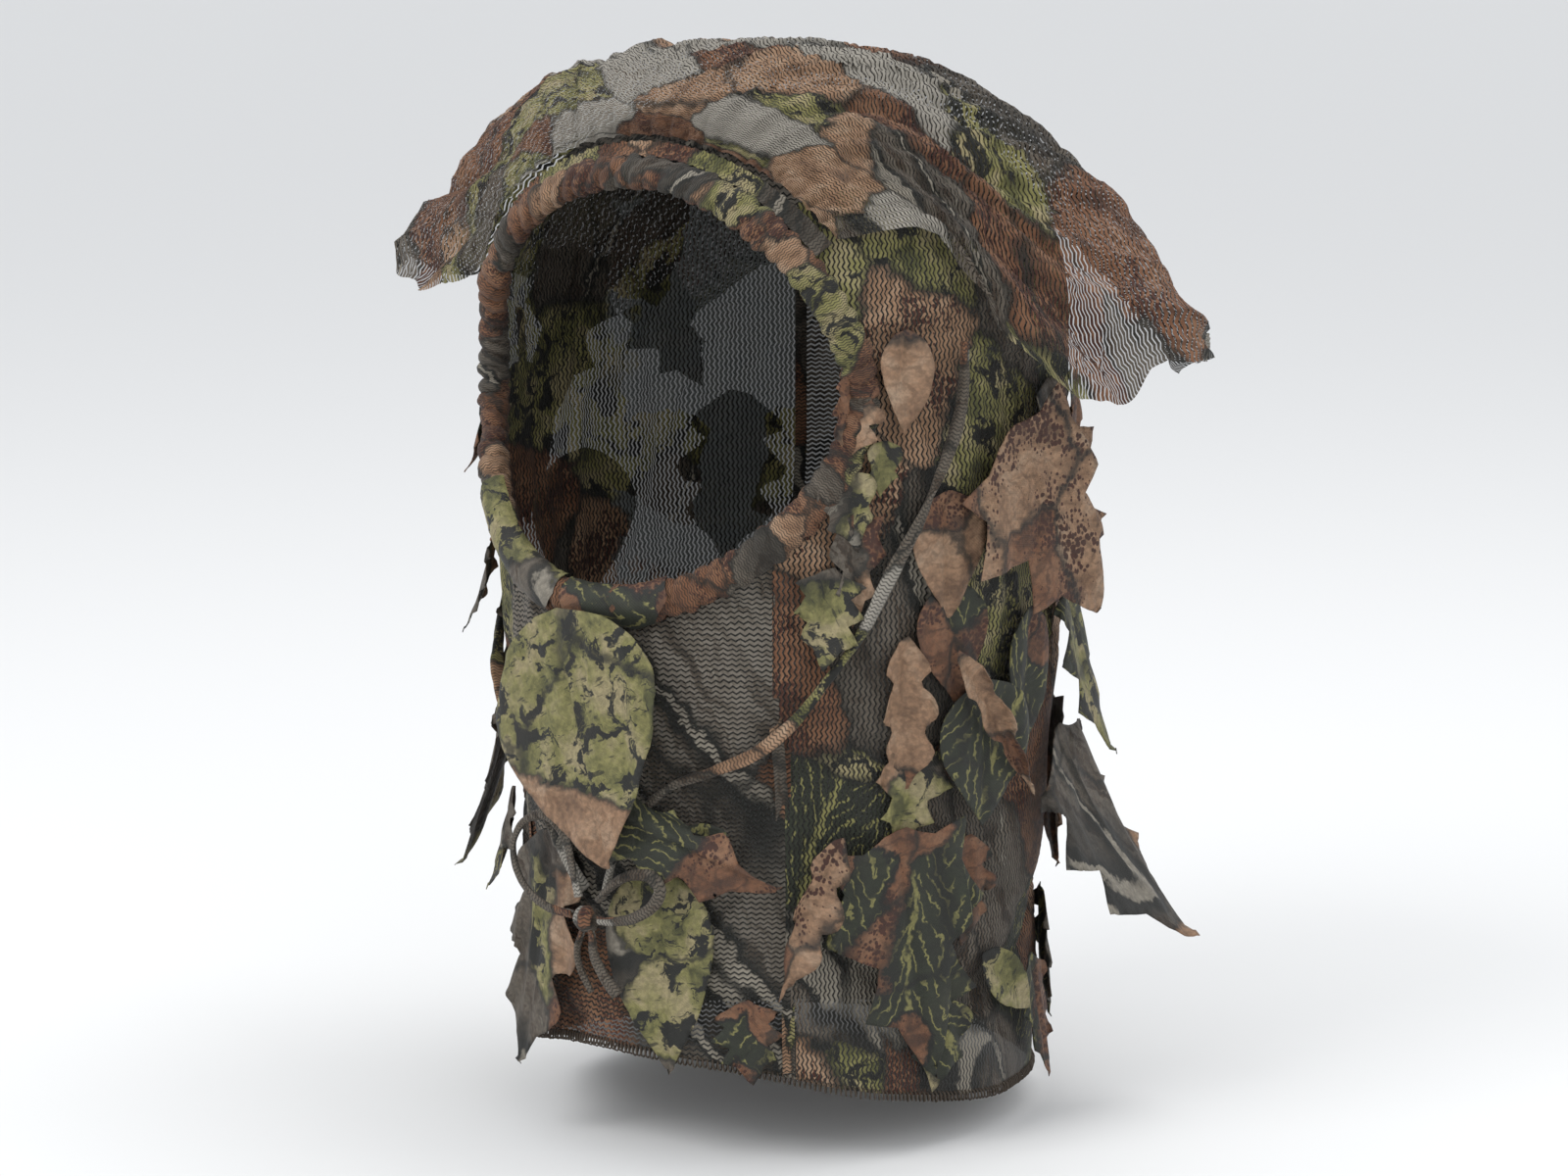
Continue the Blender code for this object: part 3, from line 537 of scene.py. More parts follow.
def smooth_route(points, spacing):
    """Points that far apart along the smooth curve through the given ones."""
    fine = [on_route(points, (len(points) - 1) * i / 600) for i in range(601)]
    lengths = np.concatenate([[0.0], np.cumsum([(b - a).length for a, b in zip(fine, fine[1:])])])
    count = max(8, round(lengths[-1] / spacing)) + 1
    places = np.searchsorted(lengths, np.linspace(0, lengths[-1], count) - 1e-9)
    return [fine[min(int(k), 600)] for k in places], float(lengths[-1])


def settled(verts, faces, holds, frames, cap, grow=0.03, bend=0.3, weight=0.2):
    """Where cloth comes to rest: a little too much of it, held more or less at each vertex, under gravity.

    Each vertex moves no farther than cap."""
    mesh = bpy.data.meshes.new("settling")
    mesh.from_pydata([tuple(v) for v in verts], [], faces)
    cloth = bpy.data.objects.new("settling", mesh)
    bpy.context.scene.collection.objects.link(cloth)
    group = cloth.vertex_groups.new(name="held")
    for i, hold in enumerate(holds):
        group.add([i], hold, "REPLACE")
    settings = cloth.modifiers.new("cloth", "CLOTH").settings
    settings.quality = 4
    settings.mass = 0.12
    settings.tension_stiffness = settings.compression_stiffness = 12
    settings.shear_stiffness = 6
    settings.bending_stiffness = bend
    settings.air_damping = 2.5
    settings.vertex_group_mass = "held"
    settings.pin_stiffness = 0.6
    settings.shrink_min = -grow
    settings.effector_weights.gravity = weight
    cloth.modifiers["cloth"].collision_settings.use_collision = False
    cloth.modifiers["cloth"].point_cache.frame_end = frames
    place = bpy.context.scene
    for frame_number in range(1, frames + 1):
        place.frame_set(frame_number)
    shape = cloth.evaluated_get(bpy.context.evaluated_depsgraph_get()).data
    moved = np.empty(len(shape.vertices) * 3, np.float32)
    shape.vertices.foreach_get("co", moved)
    moved = moved.reshape(-1, 3).astype(float)
    start = np.array([tuple(v) for v in verts])
    step = moved - start
    step[~np.isfinite(step).all(axis=1)] = 0.0
    far = np.linalg.norm(step, axis=1, keepdims=True)
    step *= np.minimum(1.0, cap * np.tanh(far / cap) / np.maximum(far, 1e-9))
    bpy.data.objects.remove(cloth)
    bpy.data.meshes.remove(mesh)
    place.frame_set(1)
    return [Vector(p) for p in start + step]


def kept_outside(point, height):
    """The point, moved off the hood if it is nearer than that height."""
    depth = CLOTH - point.z
    share = share_at(depth)
    if share <= 0:
        return point
    reach = math.hypot(point.x / HALF_WIDTH, point.y / HALF_DEPTH) / share
    least = 1 + height / 0.12
    if reach >= least or reach < 0.5:
        return point
    return Vector((point.x * least / reach, point.y * least / reach, point.z))


def kept_inside(point, height):
    """The point, moved towards the head if it is farther off the hood than that height."""
    share = share_at(CLOTH - point.z)
    if CLOTH - point.z < 0.012 or share <= 0:
        return point
    reach = math.hypot(point.x / HALF_WIDTH, point.y / HALF_DEPTH) / share
    most = 1 + height / 0.12
    if reach <= most:
        return point
    return Vector((point.x * most / reach, point.y * most / reach, point.z))


# ---- camera first, and the ties ----

scene = bpy.context.scene
camera = bpy.data.objects.new("camera", bpy.data.cameras.new("camera"))
camera.data.lens, camera.data.sensor_width = 96.4, 36
azimuth, elevation = math.radians(36), math.radians(9)
back = Vector((
    math.sin(azimuth) * math.cos(elevation),
    -math.cos(azimuth) * math.cos(elevation),
    math.sin(elevation),
))
camera.location = Vector((0, 0, -0.2128)) + back * 1.8
camera.rotation_euler = (-back).to_track_quat("-Z", "Y").to_euler()
scene.collection.objects.link(camera)
scene.camera = camera

TIE_LEFT = (
    (73, 0.098, 0.0046), (72, 0.125, 0.0050), (67, 0.152, 0.0058), (62, 0.173, 0.0060), (57, 0.194, 0.0060),
    (52, 0.215, 0.0060), (46, 0.232, 0.0056), (40, 0.248, 0.0050), (33, 0.261, 0.0044), (25, 0.269, 0.0040),
    (16, 0.276, 0.0040), (9, 0.289, 0.0040), (3, 0.306, 0.0048), (0.5, 0.324, 0.0075),
)
TIE_RIGHT = (
    (-77, 0.098, 0.0044), (-78, 0.125, 0.0044), (-78, 0.152, 0.0044),
    (-76, 0.180, 0.0046), (-71, 0.205, 0.0046),
    (-63, 0.226, 0.0046), (-52, 0.243, 0.0044), (-42, 0.258, 0.0044),
    (-33, 0.270, 0.0044), (-24, 0.284, 0.0046),
    (-15, 0.303, 0.0054), (-5, 0.3235, 0.0075),
)
KNOT = (-2.5, 0.334, 0.0125)
LOOP_LEFT = (
    (0.007, 0.000, 0.0), (0.016, 0.001, 0.0), (0.026, 0.004, 0.0),
    (0.035, 0.010, -0.001), (0.038, 0.017, -0.002),
    (0.033, 0.022, -0.002), (0.023, 0.021, -0.001), (0.014, 0.016, 0.0), (0.007, 0.009, 0.001),
)
LOOP_RIGHT = (
    (-0.007, 0.001, 0.0), (-0.020, 0.002, 0.0), (-0.031, 0.007, 0.0), (-0.039, 0.016, -0.001),
    (-0.041, 0.027, -0.002), (-0.034, 0.037, -0.002), (-0.021, 0.040, -0.001), (-0.011, 0.033, 0.0),
    (-0.006, 0.020, 0.001), (-0.003, 0.009, 0.001),
)
TAIL_LEFT = ((0.003, -0.007, 0.0), (0.004, -0.014, 0.0), (0.008, -0.022, -0.001), (0.015, -0.030, -0.002))
TAIL_RIGHT = ((-0.003, -0.007, 0.0), (-0.005, -0.014, 0.0), (-0.004, -0.022, -0.001), (0.001, -0.031, -0.002))


def strip(name, points, diameter, node, seed):
    """A folded strip of mesh, twisted and pinched along its length, as a free cord."""
    route, length = smooth_route(points, 0.0016)
    radius = diameter / 2

    def section(i, share):
        s = share * length
        twist = 1.9 * ripple(s * 14, seed) + 2.2 * ripple(s * 4, seed + 7)
        wide = radius * (1.22 + 0.22 * ripple(s * 55, seed + 3))
        thin = radius * (0.66 + 0.20 * ripple(s * 70, seed + 5))
        ring = []
        for j in range(16):
            t = math.tau * j / 16
            pleat = 1 + 0.16 * math.sin(3 * t + s * 60) + 0.10 * ripple(s * 160, j * 0.9, seed)
            a, b = wide * pleat * math.cos(t), thin * pleat * math.sin(t)
            across = a * math.cos(twist) - b * math.sin(twist)
            ring.append((across, a * math.sin(twist) + b * math.cos(twist)))
        return ring

    verts, faces, uvs = tube_mesh(route, section)
    made = piece(name, verts, faces, uvs, tie_knit)
    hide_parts(node)
    return made


knot_at = over_hood(*KNOT)
knot_out = Vector((knot_at.x, knot_at.y, 0)).normalized()
knot_side = Vector((-knot_out.y, knot_out.x, 0))


def at_knot(points):
    return [knot_at + knot_side * a + Vector((0, 0, b)) + knot_out * c for a, b, c in points]


strip("tie_left_strip", [over_hood(*p) for p in TIE_LEFT], 0.0050, "tie_left", 1.0)
strip("tie_right_strip", [over_hood(*p) for p in TIE_RIGHT], 0.0050, "tie_right", 2.0)
strip("bow_loop_left_strip", at_knot(LOOP_LEFT), 0.0040, "bow_loop_left", 3.0)
strip("bow_loop_right_strip", at_knot(LOOP_RIGHT), 0.0040, "bow_loop_right", 4.0)
IN_KNOT = (0.0, -0.0005, 0.0)
strip("bow_tail_left_strip", at_knot((IN_KNOT, *TAIL_LEFT)), 0.0040, "bow_tail_left", 5.0)
strip("bow_tail_right_strip", at_knot((IN_KNOT, *TAIL_RIGHT)), 0.0040, "bow_tail_right", 6.0)

# The knot: one wrap of the strip round the crossing
verts, uvs = [], []
for i in range(26):
    turn = math.tau * i / 26
    for j in range(14):
        around = math.tau * j / 14
        fold = 1 + 0.16 * ripple(turn * 1.3, around * 1.1, 4.0) + 0.10 * math.sin(around * 4 + turn)
        reach = 0.0028 + 0.0022 * fold * math.cos(around)
        aside = knot_side * 0.0042 * fold * math.sin(around)
        rise = Vector((0, 0, (reach + 0.0006) * math.cos(turn)))
        verts.append(knot_at + aside + rise + knot_out * reach * 0.92 * math.sin(turn))
        uvs.append((j * 0.001, i * 0.0011))
faces = [
    (i * 14 + j, i * 14 + (j + 1) % 14, (i + 1) % 26 * 14 + (j + 1) % 14, (i + 1) % 26 * 14 + j)
    for i in range(26) for j in range(14)
]
knot = piece("bow_knot_wrap", verts, faces, uvs, tie_knit)
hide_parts("bow_knot")


# ---- the hood's mesh panels ----

ANGLES, DEPTHS = 288, 150


def hood_offset(angle, depth, point):
    """How far the loose cloth stands off its even shape: gathers at the rim, folds in the neck."""
    dx, dz = point.x, point.z - (CLOTH - OPENING_DEPTH)
    front = 1.0 if point.y < 0 else 0.0
    reach = math.hypot(dx / OPENING_HALF_WIDTH, dz / OPENING_HALF_HEIGHT)
    near = front * math.exp(-((max(reach - 1.0, 0.0)) / 0.30) ** 2)
    turn = math.atan2(dz, dx)
    pleats = math.sin(turn * 46 + 2.5 * ripple(turn * 3, 1.0)) * (0.6 + 0.5 * ripple(turn * 6, 5.0))
    lower = smooth((depth - 0.20) / 0.06) * smooth((0.44 - depth) / 0.06)
    slant = angle * 0.0021 + depth * 1.0
    drape = ripple(slant * 16, (depth - angle * 0.0021) * 5, 2.0) + 0.5 * ripple(slant * 34, depth * 9, 7.0)
    hem = smooth((depth - 0.33) / 0.08) * math.sin(math.radians(angle) * 9 + 2.0 * ripple(angle * 0.03, 3.0))
    folds = near * pleats * 0.0016 + lower * min(drape, 0.35) * 0.0065 + hem * 0.0010
    return -0.0020 + folds


def build_panels():
    shares = [1 - math.cos(math.pi / 2 * i / 40) for i in range(41)]
    shares += [1 + (i + 1) / (DEPTHS - 41) for i in range(DEPTHS - 41)]
    shares[0] = 1e-5
    verts, uvs = [], []
    for share in shares:
        for j in range(ANGLES + 1):
            angle = 360 * j / ANGLES - 180
            if share <= 1:
                depth = CROWN_HEIGHT * share
            else:
                depth = CROWN_HEIGHT + (hem_at(angle) - CROWN_HEIGHT) * (share - 1)
            point = hood_point(angle, depth)
            out = normal_at(point) if depth > 0.001 else Vector((0, 0, 1))
            verts.append(point + out * hood_offset(angle, depth, point))
            uvs.append((math.radians(angle) * 0.121, depth))
    quads = grid_faces(len(shares), ANGLES + 1)
    holds = []
    for v in verts:
        near_rim = math.hypot(v.x / OPENING_HALF_WIDTH, (v.z - CLOTH + OPENING_DEPTH) / OPENING_HALF_HEIGHT)
        seam = abs(abs(v.x) - SEAM_X) < 0.004
        high = smooth((v.z + 0.16) / 0.10)
        fixed = seam or (v.y < 0 and near_rim < 1.07) or v.z < -HEM_DEPTH + HEM_RISE + 0.004
        holds.append(1.0 if fixed else 0.12 + 0.5 * high)
    wide = ANGLES + 1
    ring = [i for i in range(len(verts)) if i % wide < ANGLES]
    moved = settled([verts[i] for i in ring], grid_faces(len(shares), ANGLES, True), [holds[i] for i in ring],
                    14, 0.0045, grow=0.035, bend=0.4)
    moved = [kept_inside(v, 0.0003) for v in moved]
    verts = [moved[i // wide * ANGLES + i % wide % ANGLES] for i in range(len(verts))]
    panels = {"centre_panel": [], "bib_panel": [], "side_panel_left": [], "side_panel_right": []}
    for quad in quads:
        middle = sum((verts[i] for i in quad), Vector()) / 4
        dx = middle.x / OPENING_HALF_WIDTH
        dz = (middle.z - (CLOTH - OPENING_DEPTH)) / OPENING_HALF_HEIGHT
        if middle.y < 0 and dx * dx + dz * dz < 1.0:
            continue
        if middle.x > SEAM_X:
            key = "side_panel_left"
        elif middle.x < -SEAM_X:
            key = "side_panel_right"
        elif middle.y < 0 and middle.z < -0.16:
            key = "bib_panel"
        else:
            key = "centre_panel"
        panels[key].append(quad)
    for key, faces in panels.items():
        used = sorted({i for f in faces for i in f})
        place = {old: new for new, old in enumerate(used)}
        sideways = key.startswith("side")
        made = piece(
            key + "_mesh", [verts[i] for i in used], [[place[i] for i in f] for f in faces],
            [uvs[i][::-1] if sideways else uvs[i] for i in used], side_camo if sideways else mesh_camo,
        )
        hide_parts(key)
        size = {"centre_panel": (0.15, 0.60), "bib_panel": (0.16, 0.24)}.get(key, (0.26, 0.42))


build_panels()


# ---- the gathered casing round the face opening ----


def puffs(phase, sharp=0.7):
    """Rounded gathers with tight creases between them, from -1 to 1."""
    return 2 * abs(math.sin(phase)) ** sharp - 1


def casing_section(angle, count):
    """The ruffled outline of the casing at an angle of the opening: (away from the opening, outwards)."""
    s = angle * 0.091
    aside = 0.5 - 0.5 * math.cos(angle)  # 1 at the wearer's right
    round_x, round_y = math.cos(angle), math.sin(angle)
    loose = 0.55 + 0.30 * aside + 0.45 * ripple(round_x * 2.2, round_y * 2.2, 8.0)
    lump = max(0.0, ripple(round_x * 7, round_y * 7, 2.5)) * (0.35 + 0.55 * aside)
    ring = []
    for j in range(count):
        t = math.radians(14) + math.radians(332) * j / (count - 1)
        lean = 0.9 * math.sin(t) + 1.6 * ripple(math.cos(t) + s * 22, math.sin(t), 1.0)
        ridge = puffs(angle * 40 + lean, 0.55) + 0.45 * puffs(angle * 23 - lean, 0.55)
        fine = ripple(math.cos(t) * 2 + s * 240, math.sin(t) * 2, 3.0)
        facing = 0.5 + 0.5 * math.cos(t - 2.4)
        swell = 1 + loose * (0.26 * ridge + 0.14 * fine) + lump * facing
        ring.append((0.0066 * swell * math.cos(t), 0.0048 * swell * math.sin(t) - CLOTH / 2))
    return ring


def build_casing():
    steps, count = 1000, 22
    verts, uvs = [], []
    for i in range(steps):
        angle = math.tau * i / steps
        point, away, out = rim_frame(angle)
        for j, (a, b) in enumerate(casing_section(angle, count)):
            verts.append(point + away * a + out * b)
            uvs.append((j * 0.0018, angle * 0.15))
    faces = []
    for i in range(steps):
        k = (i + 1) % steps
        faces += [
            (i * count + j, i * count + j + 1, k * count + j + 1, k * count + j) for j in range(count - 1)]
    made = piece("face_casing_gathers", verts, faces, uvs, casing_knit)
    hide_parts("face_casing", "face_elastic")


build_casing()


def rim_wrap(name, first, last, reach, material, seed):
    """A leaf folded over the casing, between two angles of the opening in degrees."""
    rows, columns = 44, 18
    verts, uvs = [], []
    for i in range(rows):
        share = i / (rows - 1)
        angle = math.radians(first + (last - first) * share)
        point, away, out = rim_frame(angle)
        narrow = math.sin(math.pi * min(max(share * 0.94 + 0.03, 0), 1)) ** 0.35
        for j in range(columns):
            t = math.radians(200 - (215 + 40 * ripple(share * 5, seed)) * narrow * j / (columns - 1))
            fold = 1 + 0.09 * ripple(share * 7, t * 1.3, seed) + 0.05 * ripple(share * 22, t * 3, seed)
            verts.append(point + away * reach * 0.0066 * fold * math.cos(t)
                         + out * (reach * 0.0050 * fold * math.sin(t) - CLOTH / 2))
            uvs.append((t * 0.008 + seed, share * math.radians(last - first) * 0.091 + seed * 0.7))
    made = piece(name, verts, grid_faces(rows, columns), uvs, material)


rim_wrap("chin_fold_moss", 214, 258, 1.42, leaf_materials["leaf_moss"], 3.0)
rim_wrap("chin_fold_rust", 260, 291, 1.36, leaf_materials["leaf_rust"], 6.0)


# ---- the flap over the crown ----


def flap_row(row, across):
    (mid_y, mid_z), left, right = row
    half, edge_y, edge_z, power = left if across > 0 else right
    t = abs(across)
    depth = mid_y + (edge_y - mid_y) * t * t
    return Vector((half * across, depth, CLOTH + mid_z + (edge_z - mid_z) * t**power))


def flap_point(along, across):
    point, away, out = rim_frame(math.radians(90 - FLAP_SEAM_ANGLE * across))
    rows = [point + away * FLAP_SEAM_REACH + out * FLAP_STAND_OFF]
    rows += [flap_row(row, across) for row in FLAP_ROWS]
    return on_route(rows, along * (len(rows) - 1))


def flap_fold(along, across):
    """The flap's folds: pleats that fan out from the seam, and waves in its free edges."""
    wing = smooth((abs(across) - 0.35) / 0.5)
    pleat = puffs(across * 34 + 2.0 * ripple(across * 5, 2.0)) * math.exp(-along * 6) * 0.0016
    slant = across * 2.4 - along * 0.9 * (1 if across > 0 else -1)
    fan = 1 - 2.2 * abs(ripple(slant * 3.4 + 2.0, along * 0.9, 4.0))
    small = 1 - 2.2 * abs(ripple(slant * 8.5, along * 2.4, 9.0))
    crumple = ripple(across * 20, along * 14, 6.0) * 0.0010
    grown = smooth(along * 2.2)
    flutter = wing * ripple(slant * 6, along * 2, 5.0) * 0.0060
    return pleat + (fan * 0.0050 + small * 0.0030 + flutter) * grown + crumple


def build_flap():
    rows, columns = 130, 280
    flat = [
        [flap_point(i / (rows - 1), 2 * j / (columns - 1) - 1) for j in range(columns)]
        for i in range(rows)
    ]
    verts, uvs = [], []
    for i in range(rows):
        for j in range(columns):
            along, across = i / (rows - 1), 2 * j / (columns - 1) - 1
            down = flat[min(i + 1, rows - 1)][j] - flat[max(i - 1, 0)][j]
            side = flat[i][min(j + 1, columns - 1)] - flat[i][max(j - 1, 0)]
            out = side.cross(down).normalized()
            if out.dot(flat[i][j] - Vector((0, 0, -0.12))) < 0:
                out.negate()
            edge = smooth((abs(across) - 0.80) / 0.2) * smooth(along * 3)
            ragged = Vector((math.copysign(1, across), 0, -1)) * edge * 0.006 * ripple(along * 9, across, 3.0)
            verts.append(flat[i][j] + out * (0.0008 + flap_fold(along, across)) + ragged)
            uvs.append((across * 0.19, 0.6 + along * 0.30))
    holds = []
    for i in range(rows):
        for j in range(columns):
            wing = smooth((abs(2 * j / (columns - 1) - 1) - 0.25) / 0.55)
            holds.append(1.0 if i < 3 else 0.55 - 0.43 * wing)
    verts = settled(verts, grid_faces(rows, columns), holds, 16, 0.007, grow=0.05, bend=0.3, weight=0.12)
    made = piece("crown_flap_mesh", verts, grid_faces(rows, columns), uvs, flap_camo, body=None)
    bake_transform(made)
    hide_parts("crown_flap")


build_flap()


# ---- leaves ----

OUTLINES = {
    "maple": ((0.0, 0.05), (0.06, 0.20), (0.03, 0.40), (0.19, 0.33), (0.35, 0.50),
              (0.44, 0.33), (0.50, 0.21), (0.69, 0.33), (0.75, 0.15), (1.0, 0.0)),
    "oak": ((0.0, 0.06), (0.11, 0.28), (0.21, 0.42), (0.29, 0.25), (0.40, 0.50),
            (0.51, 0.45), (0.56, 0.24), (0.68, 0.38), (0.77, 0.29), (0.84, 0.14), (1.0, 0.0)),
    "birch": ((0.0, 0.06), (0.08, 0.31), (0.22, 0.47), (0.38, 0.50),
              (0.56, 0.42), (0.73, 0.28), (0.87, 0.13), (1.0, 0.0)),
    "ivy": ((0.0, 0.10), (0.10, 0.42), (0.25, 0.50), (0.40, 0.37),
            (0.50, 0.30), (0.61, 0.40), (0.72, 0.20), (1.0, 0.0)),
    "holly": ((0.0, 0.06), (0.09, 0.23), (0.15, 0.50), (0.29, 0.30), (0.43, 0.50),
              (0.54, 0.26), (0.67, 0.42), (0.78, 0.17), (1.0, 0.0)),
}
# As in the CAD part, then: body, curl of the sides, crumple in mm, twist of the free end in degrees
LEAVES = {
    "leaf_chin": ("birch", -9, 0.207, 18, 0.106, 0.096, 0.0092, 4, 0.15,
        "leaf_moss", "chin_leaf", 0.10, 1.6, 0),
    "leaf_chin_low": ("holly", -2, 0.286, 72, 0.090, 0.040, 0.0090, 0, 0.15,
        "leaf_rust", "hood", 0.0, 0.6, 0),
    "leaf_bib_rust": ("ivy", 21, 0.292, 6, 0.030, 0.026, 0.0012, 0, 0.15,
        "leaf_rust", "hood", 0.1, 0.5, 0),
    "leaf_bib_moss": ("birch", 11, 0.312, 4, 0.084, 0.048, 0.0012, 1, 0.15,
        "leaf_moss", "hood", 0.1, 0.8, 0),
    "leaf_bib_bark": ("oak", -19, 0.304, -8, 0.102, 0.062, 0.0012, 6, 0.15,
        "leaf_bark", "hood", 0.1, 1.0, 0),
    "leaf_right_rim": ("ivy", -60, 0.128, 0, 0.036, 0.028, 0.0012, 22, 0.15,
        "leaf_rust", "right_rim_leaf", 0.4, 1.5, 0),
    "leaf_right_cheek": ("holly", -56, 0.188, -6, 0.044, 0.036, 0.0012, 22, 0.15,
        "leaf_bark", "right_cheek_leaf", 0.2, 1.2, 0),
    "leaf_right_jaw": ("holly", -61, 0.250, -6, 0.088, 0.066, 0.0012, 21, 0.15,
        "leaf_green", "right_jaw_leaf", 0.2, 1.6, 0),
    "leaf_right_low": ("oak", -47, 0.296, -4, 0.044, 0.034, 0.0012, 18, 0.15,
        "leaf_bark", "hood", 0.2, 1.2, 0),
    "leaf_left_front": ("maple", 61, 0.296, 10, 0.106, 0.084, 0.0045, 1, 0.15,
        "leaf_rust", "left_front_leaf", 0.05, 1.4, 0),
    "leaf_front_curled": ("oak", 49, 0.296, -22, 0.070, 0.020, 0.0090, 3, 0.15,
        "leaf_tan", "left_front_leaf", 0.5, 1.0, 50),
    "leaf_temple_tan": ("birch", 61, 0.092, -2, 0.040, 0.022, 0.0012, 2, 0.15,
        "leaf_tan", "hood", 0.4, 2.2, 20),
    "leaf_temple_moss": ("ivy", 57, 0.136, -4, 0.022, 0.016, 0.0012, 0, 0.15,
        "leaf_green", "hood", 0.3, 1.6, 0),
    "leaf_cheek_grey": ("maple", 52, 0.164, -2, 0.046, 0.026, 0.0012, 0, 0.15,
        "leaf_bark", "hood", 0.2, 0.8, 0),
    "leaf_cheek_round": ("birch", 70, 0.158, 4, 0.052, 0.036, 0.0012, 0, 0.15,
        "leaf_bark", "hood", 0.1, 0.8, 0),
    "leaf_cheek_rolled": ("oak", 70, 0.222, 38, 0.086, 0.016, 0.0125, 0, 0.15,
        "leaf_tan", "hood", 0.6, 0.8, 60),
    "leaf_jaw_crumpled": ("oak", 62, 0.216, 2, 0.066, 0.024, 0.0012, 1, 0.15,
        "leaf_speckled", "hood", 0.5, 2.4, 20),
    "leaf_left_cheek": ("maple", 82, 0.136, 38, 0.100, 0.096, 0.0075, 3, 0.45,
        "leaf_speckled", "left_cheek_leaf", 0.05, 1.4, 0),
    "leaf_left_ear": ("ivy", 99, 0.118, 8, 0.036, 0.034, 0.0012, 0, 0.15,
        "leaf_bark", "hood", 0.1, 0.8, 0),
    "leaf_left_fern": ("birch", 80, 0.238, 4, 0.060, 0.054, 0.0042, 1, 0.15,
        "leaf_fern", "hood", 0.1, 1.0, 0),
    "leaf_left_rust": ("birch", 96, 0.212, -2, 0.062, 0.034, 0.0012, 1, 0.15,
        "leaf_rust", "hood", 0.1, 0.6, 0),
    "leaf_left_rear": ("holly", 114, 0.200, 10, 0.082, 0.050, 0.0012, 18, 0.15,
        "leaf_green", "left_rear_leaf", 0.1, 1.4, 0),
    "leaf_left_spread": ("holly", 112, 0.270, 16, 0.092, 0.090, 0.0045, 34, 0.30,
        "leaf_bark", "left_spread_leaf", 0.05, 1.4, 0),
    "leaf_left_shade": ("oak", 80, 0.304, -2, 0.046, 0.034, 0.0012, 0, 0.15,
        "leaf_rust", "hood", 0.0, 0.4, 0),
    "leaf_hem_fern": ("birch", 86, 0.358, 50, 0.044, 0.020, 0.0012, 4, 0.15,
        "leaf_fern", "hood", 0.2, 0.8, 0),
    "leaf_hem_rust": ("holly", 107, 0.366, 2, 0.052, 0.034, 0.0012, 10, 0.15,
        "leaf_rust", "hood", 0.3, 1.4, 0),
    "leaf_back_nape": ("maple", 142, 0.262, -4, 0.080, 0.074, 0.0012, 6, 0.15,
        "leaf_tan", "hood", 0.1, 1.4, 0),
    "leaf_back_hem": ("oak", 133, 0.348, 6, 0.060, 0.052, 0.0012, 5, 0.15,
        "leaf_green", "back_hem_leaf", 0.1, 1.4, 0),
    "leaf_back_low": ("maple", 163, 0.338, -6, 0.074, 0.066, 0.0012, 6, 0.15,
        "leaf_speckled", "back_low_leaf", 0.1, 1.4, 0),
    "leaf_back_centre": ("birch", 178, 0.232, 8, 0.092, 0.066, 0.0012, 5, 0.15,
        "leaf_moss", "back_centre_leaf", 0.1, 1.4, 0),
    "leaf_back_high": ("oak", 143, 0.162, 8, 0.082, 0.058, 0.0012, 4, 0.15,
        "leaf_bark", "back_high_leaf", 0.1, 1.4, 0),
    "leaf_back_crown": ("maple", 196, 0.128, -6, 0.086, 0.062, 0.0012, 4, 0.15,
        "leaf_rust", "back_crown_leaf", 0.1, 1.2, 0),
    "leaf_rear_side": ("birch", 262, 0.164, 10, 0.078, 0.062, 0.0012, 5, 0.15,
        "leaf_green", "rear_side_leaf", 0.1, 1.4, 0),
    "leaf_rear_high": ("oak", 228, 0.142, 4, 0.078, 0.054, 0.0012, 4, 0.15,
        "leaf_moss", "rear_high_leaf", 0.1, 1.4, 0),
    "leaf_rear_neck": ("maple", 236, 0.238, -4, 0.088, 0.078, 0.0012, 6, 0.15,
        "leaf_speckled", "rear_neck_leaf", 0.1, 1.6, 0),
    "leaf_rear_hem": ("holly", 210, 0.334, 4, 0.078, 0.070, 0.0012, 8, 0.15,
        "leaf_green", "rear_hem_leaf", 0.1, 1.6, 0),
    "leaf_rear_nape": ("oak", 207, 0.246, 2, 0.076, 0.052, 0.0012, 5, 0.15,
        "leaf_tan", "rear_nape_leaf", 0.1, 1.4, 0),
    "leaf_side_hem": ("maple", 245, 0.340, 2, 0.072, 0.066, 0.0012, 7, 0.15,
        "leaf_moss", "side_hem_leaf", 0.1, 1.4, 0),
    "leaf_side_low": ("oak", 277, 0.330, -4, 0.078, 0.060, 0.0012, 6, 0.15,
        "leaf_bark", "side_low_leaf", 0.1, 1.4, 0),
    "leaf_side_neck": ("ivy", 268, 0.254, 4, 0.066, 0.056, 0.0012, 8, 0.15,
        "leaf_rust", "side_neck_leaf", 0.1, 1.4, 0),
}
ROUNDED = ("oak", "birch", "ivy")


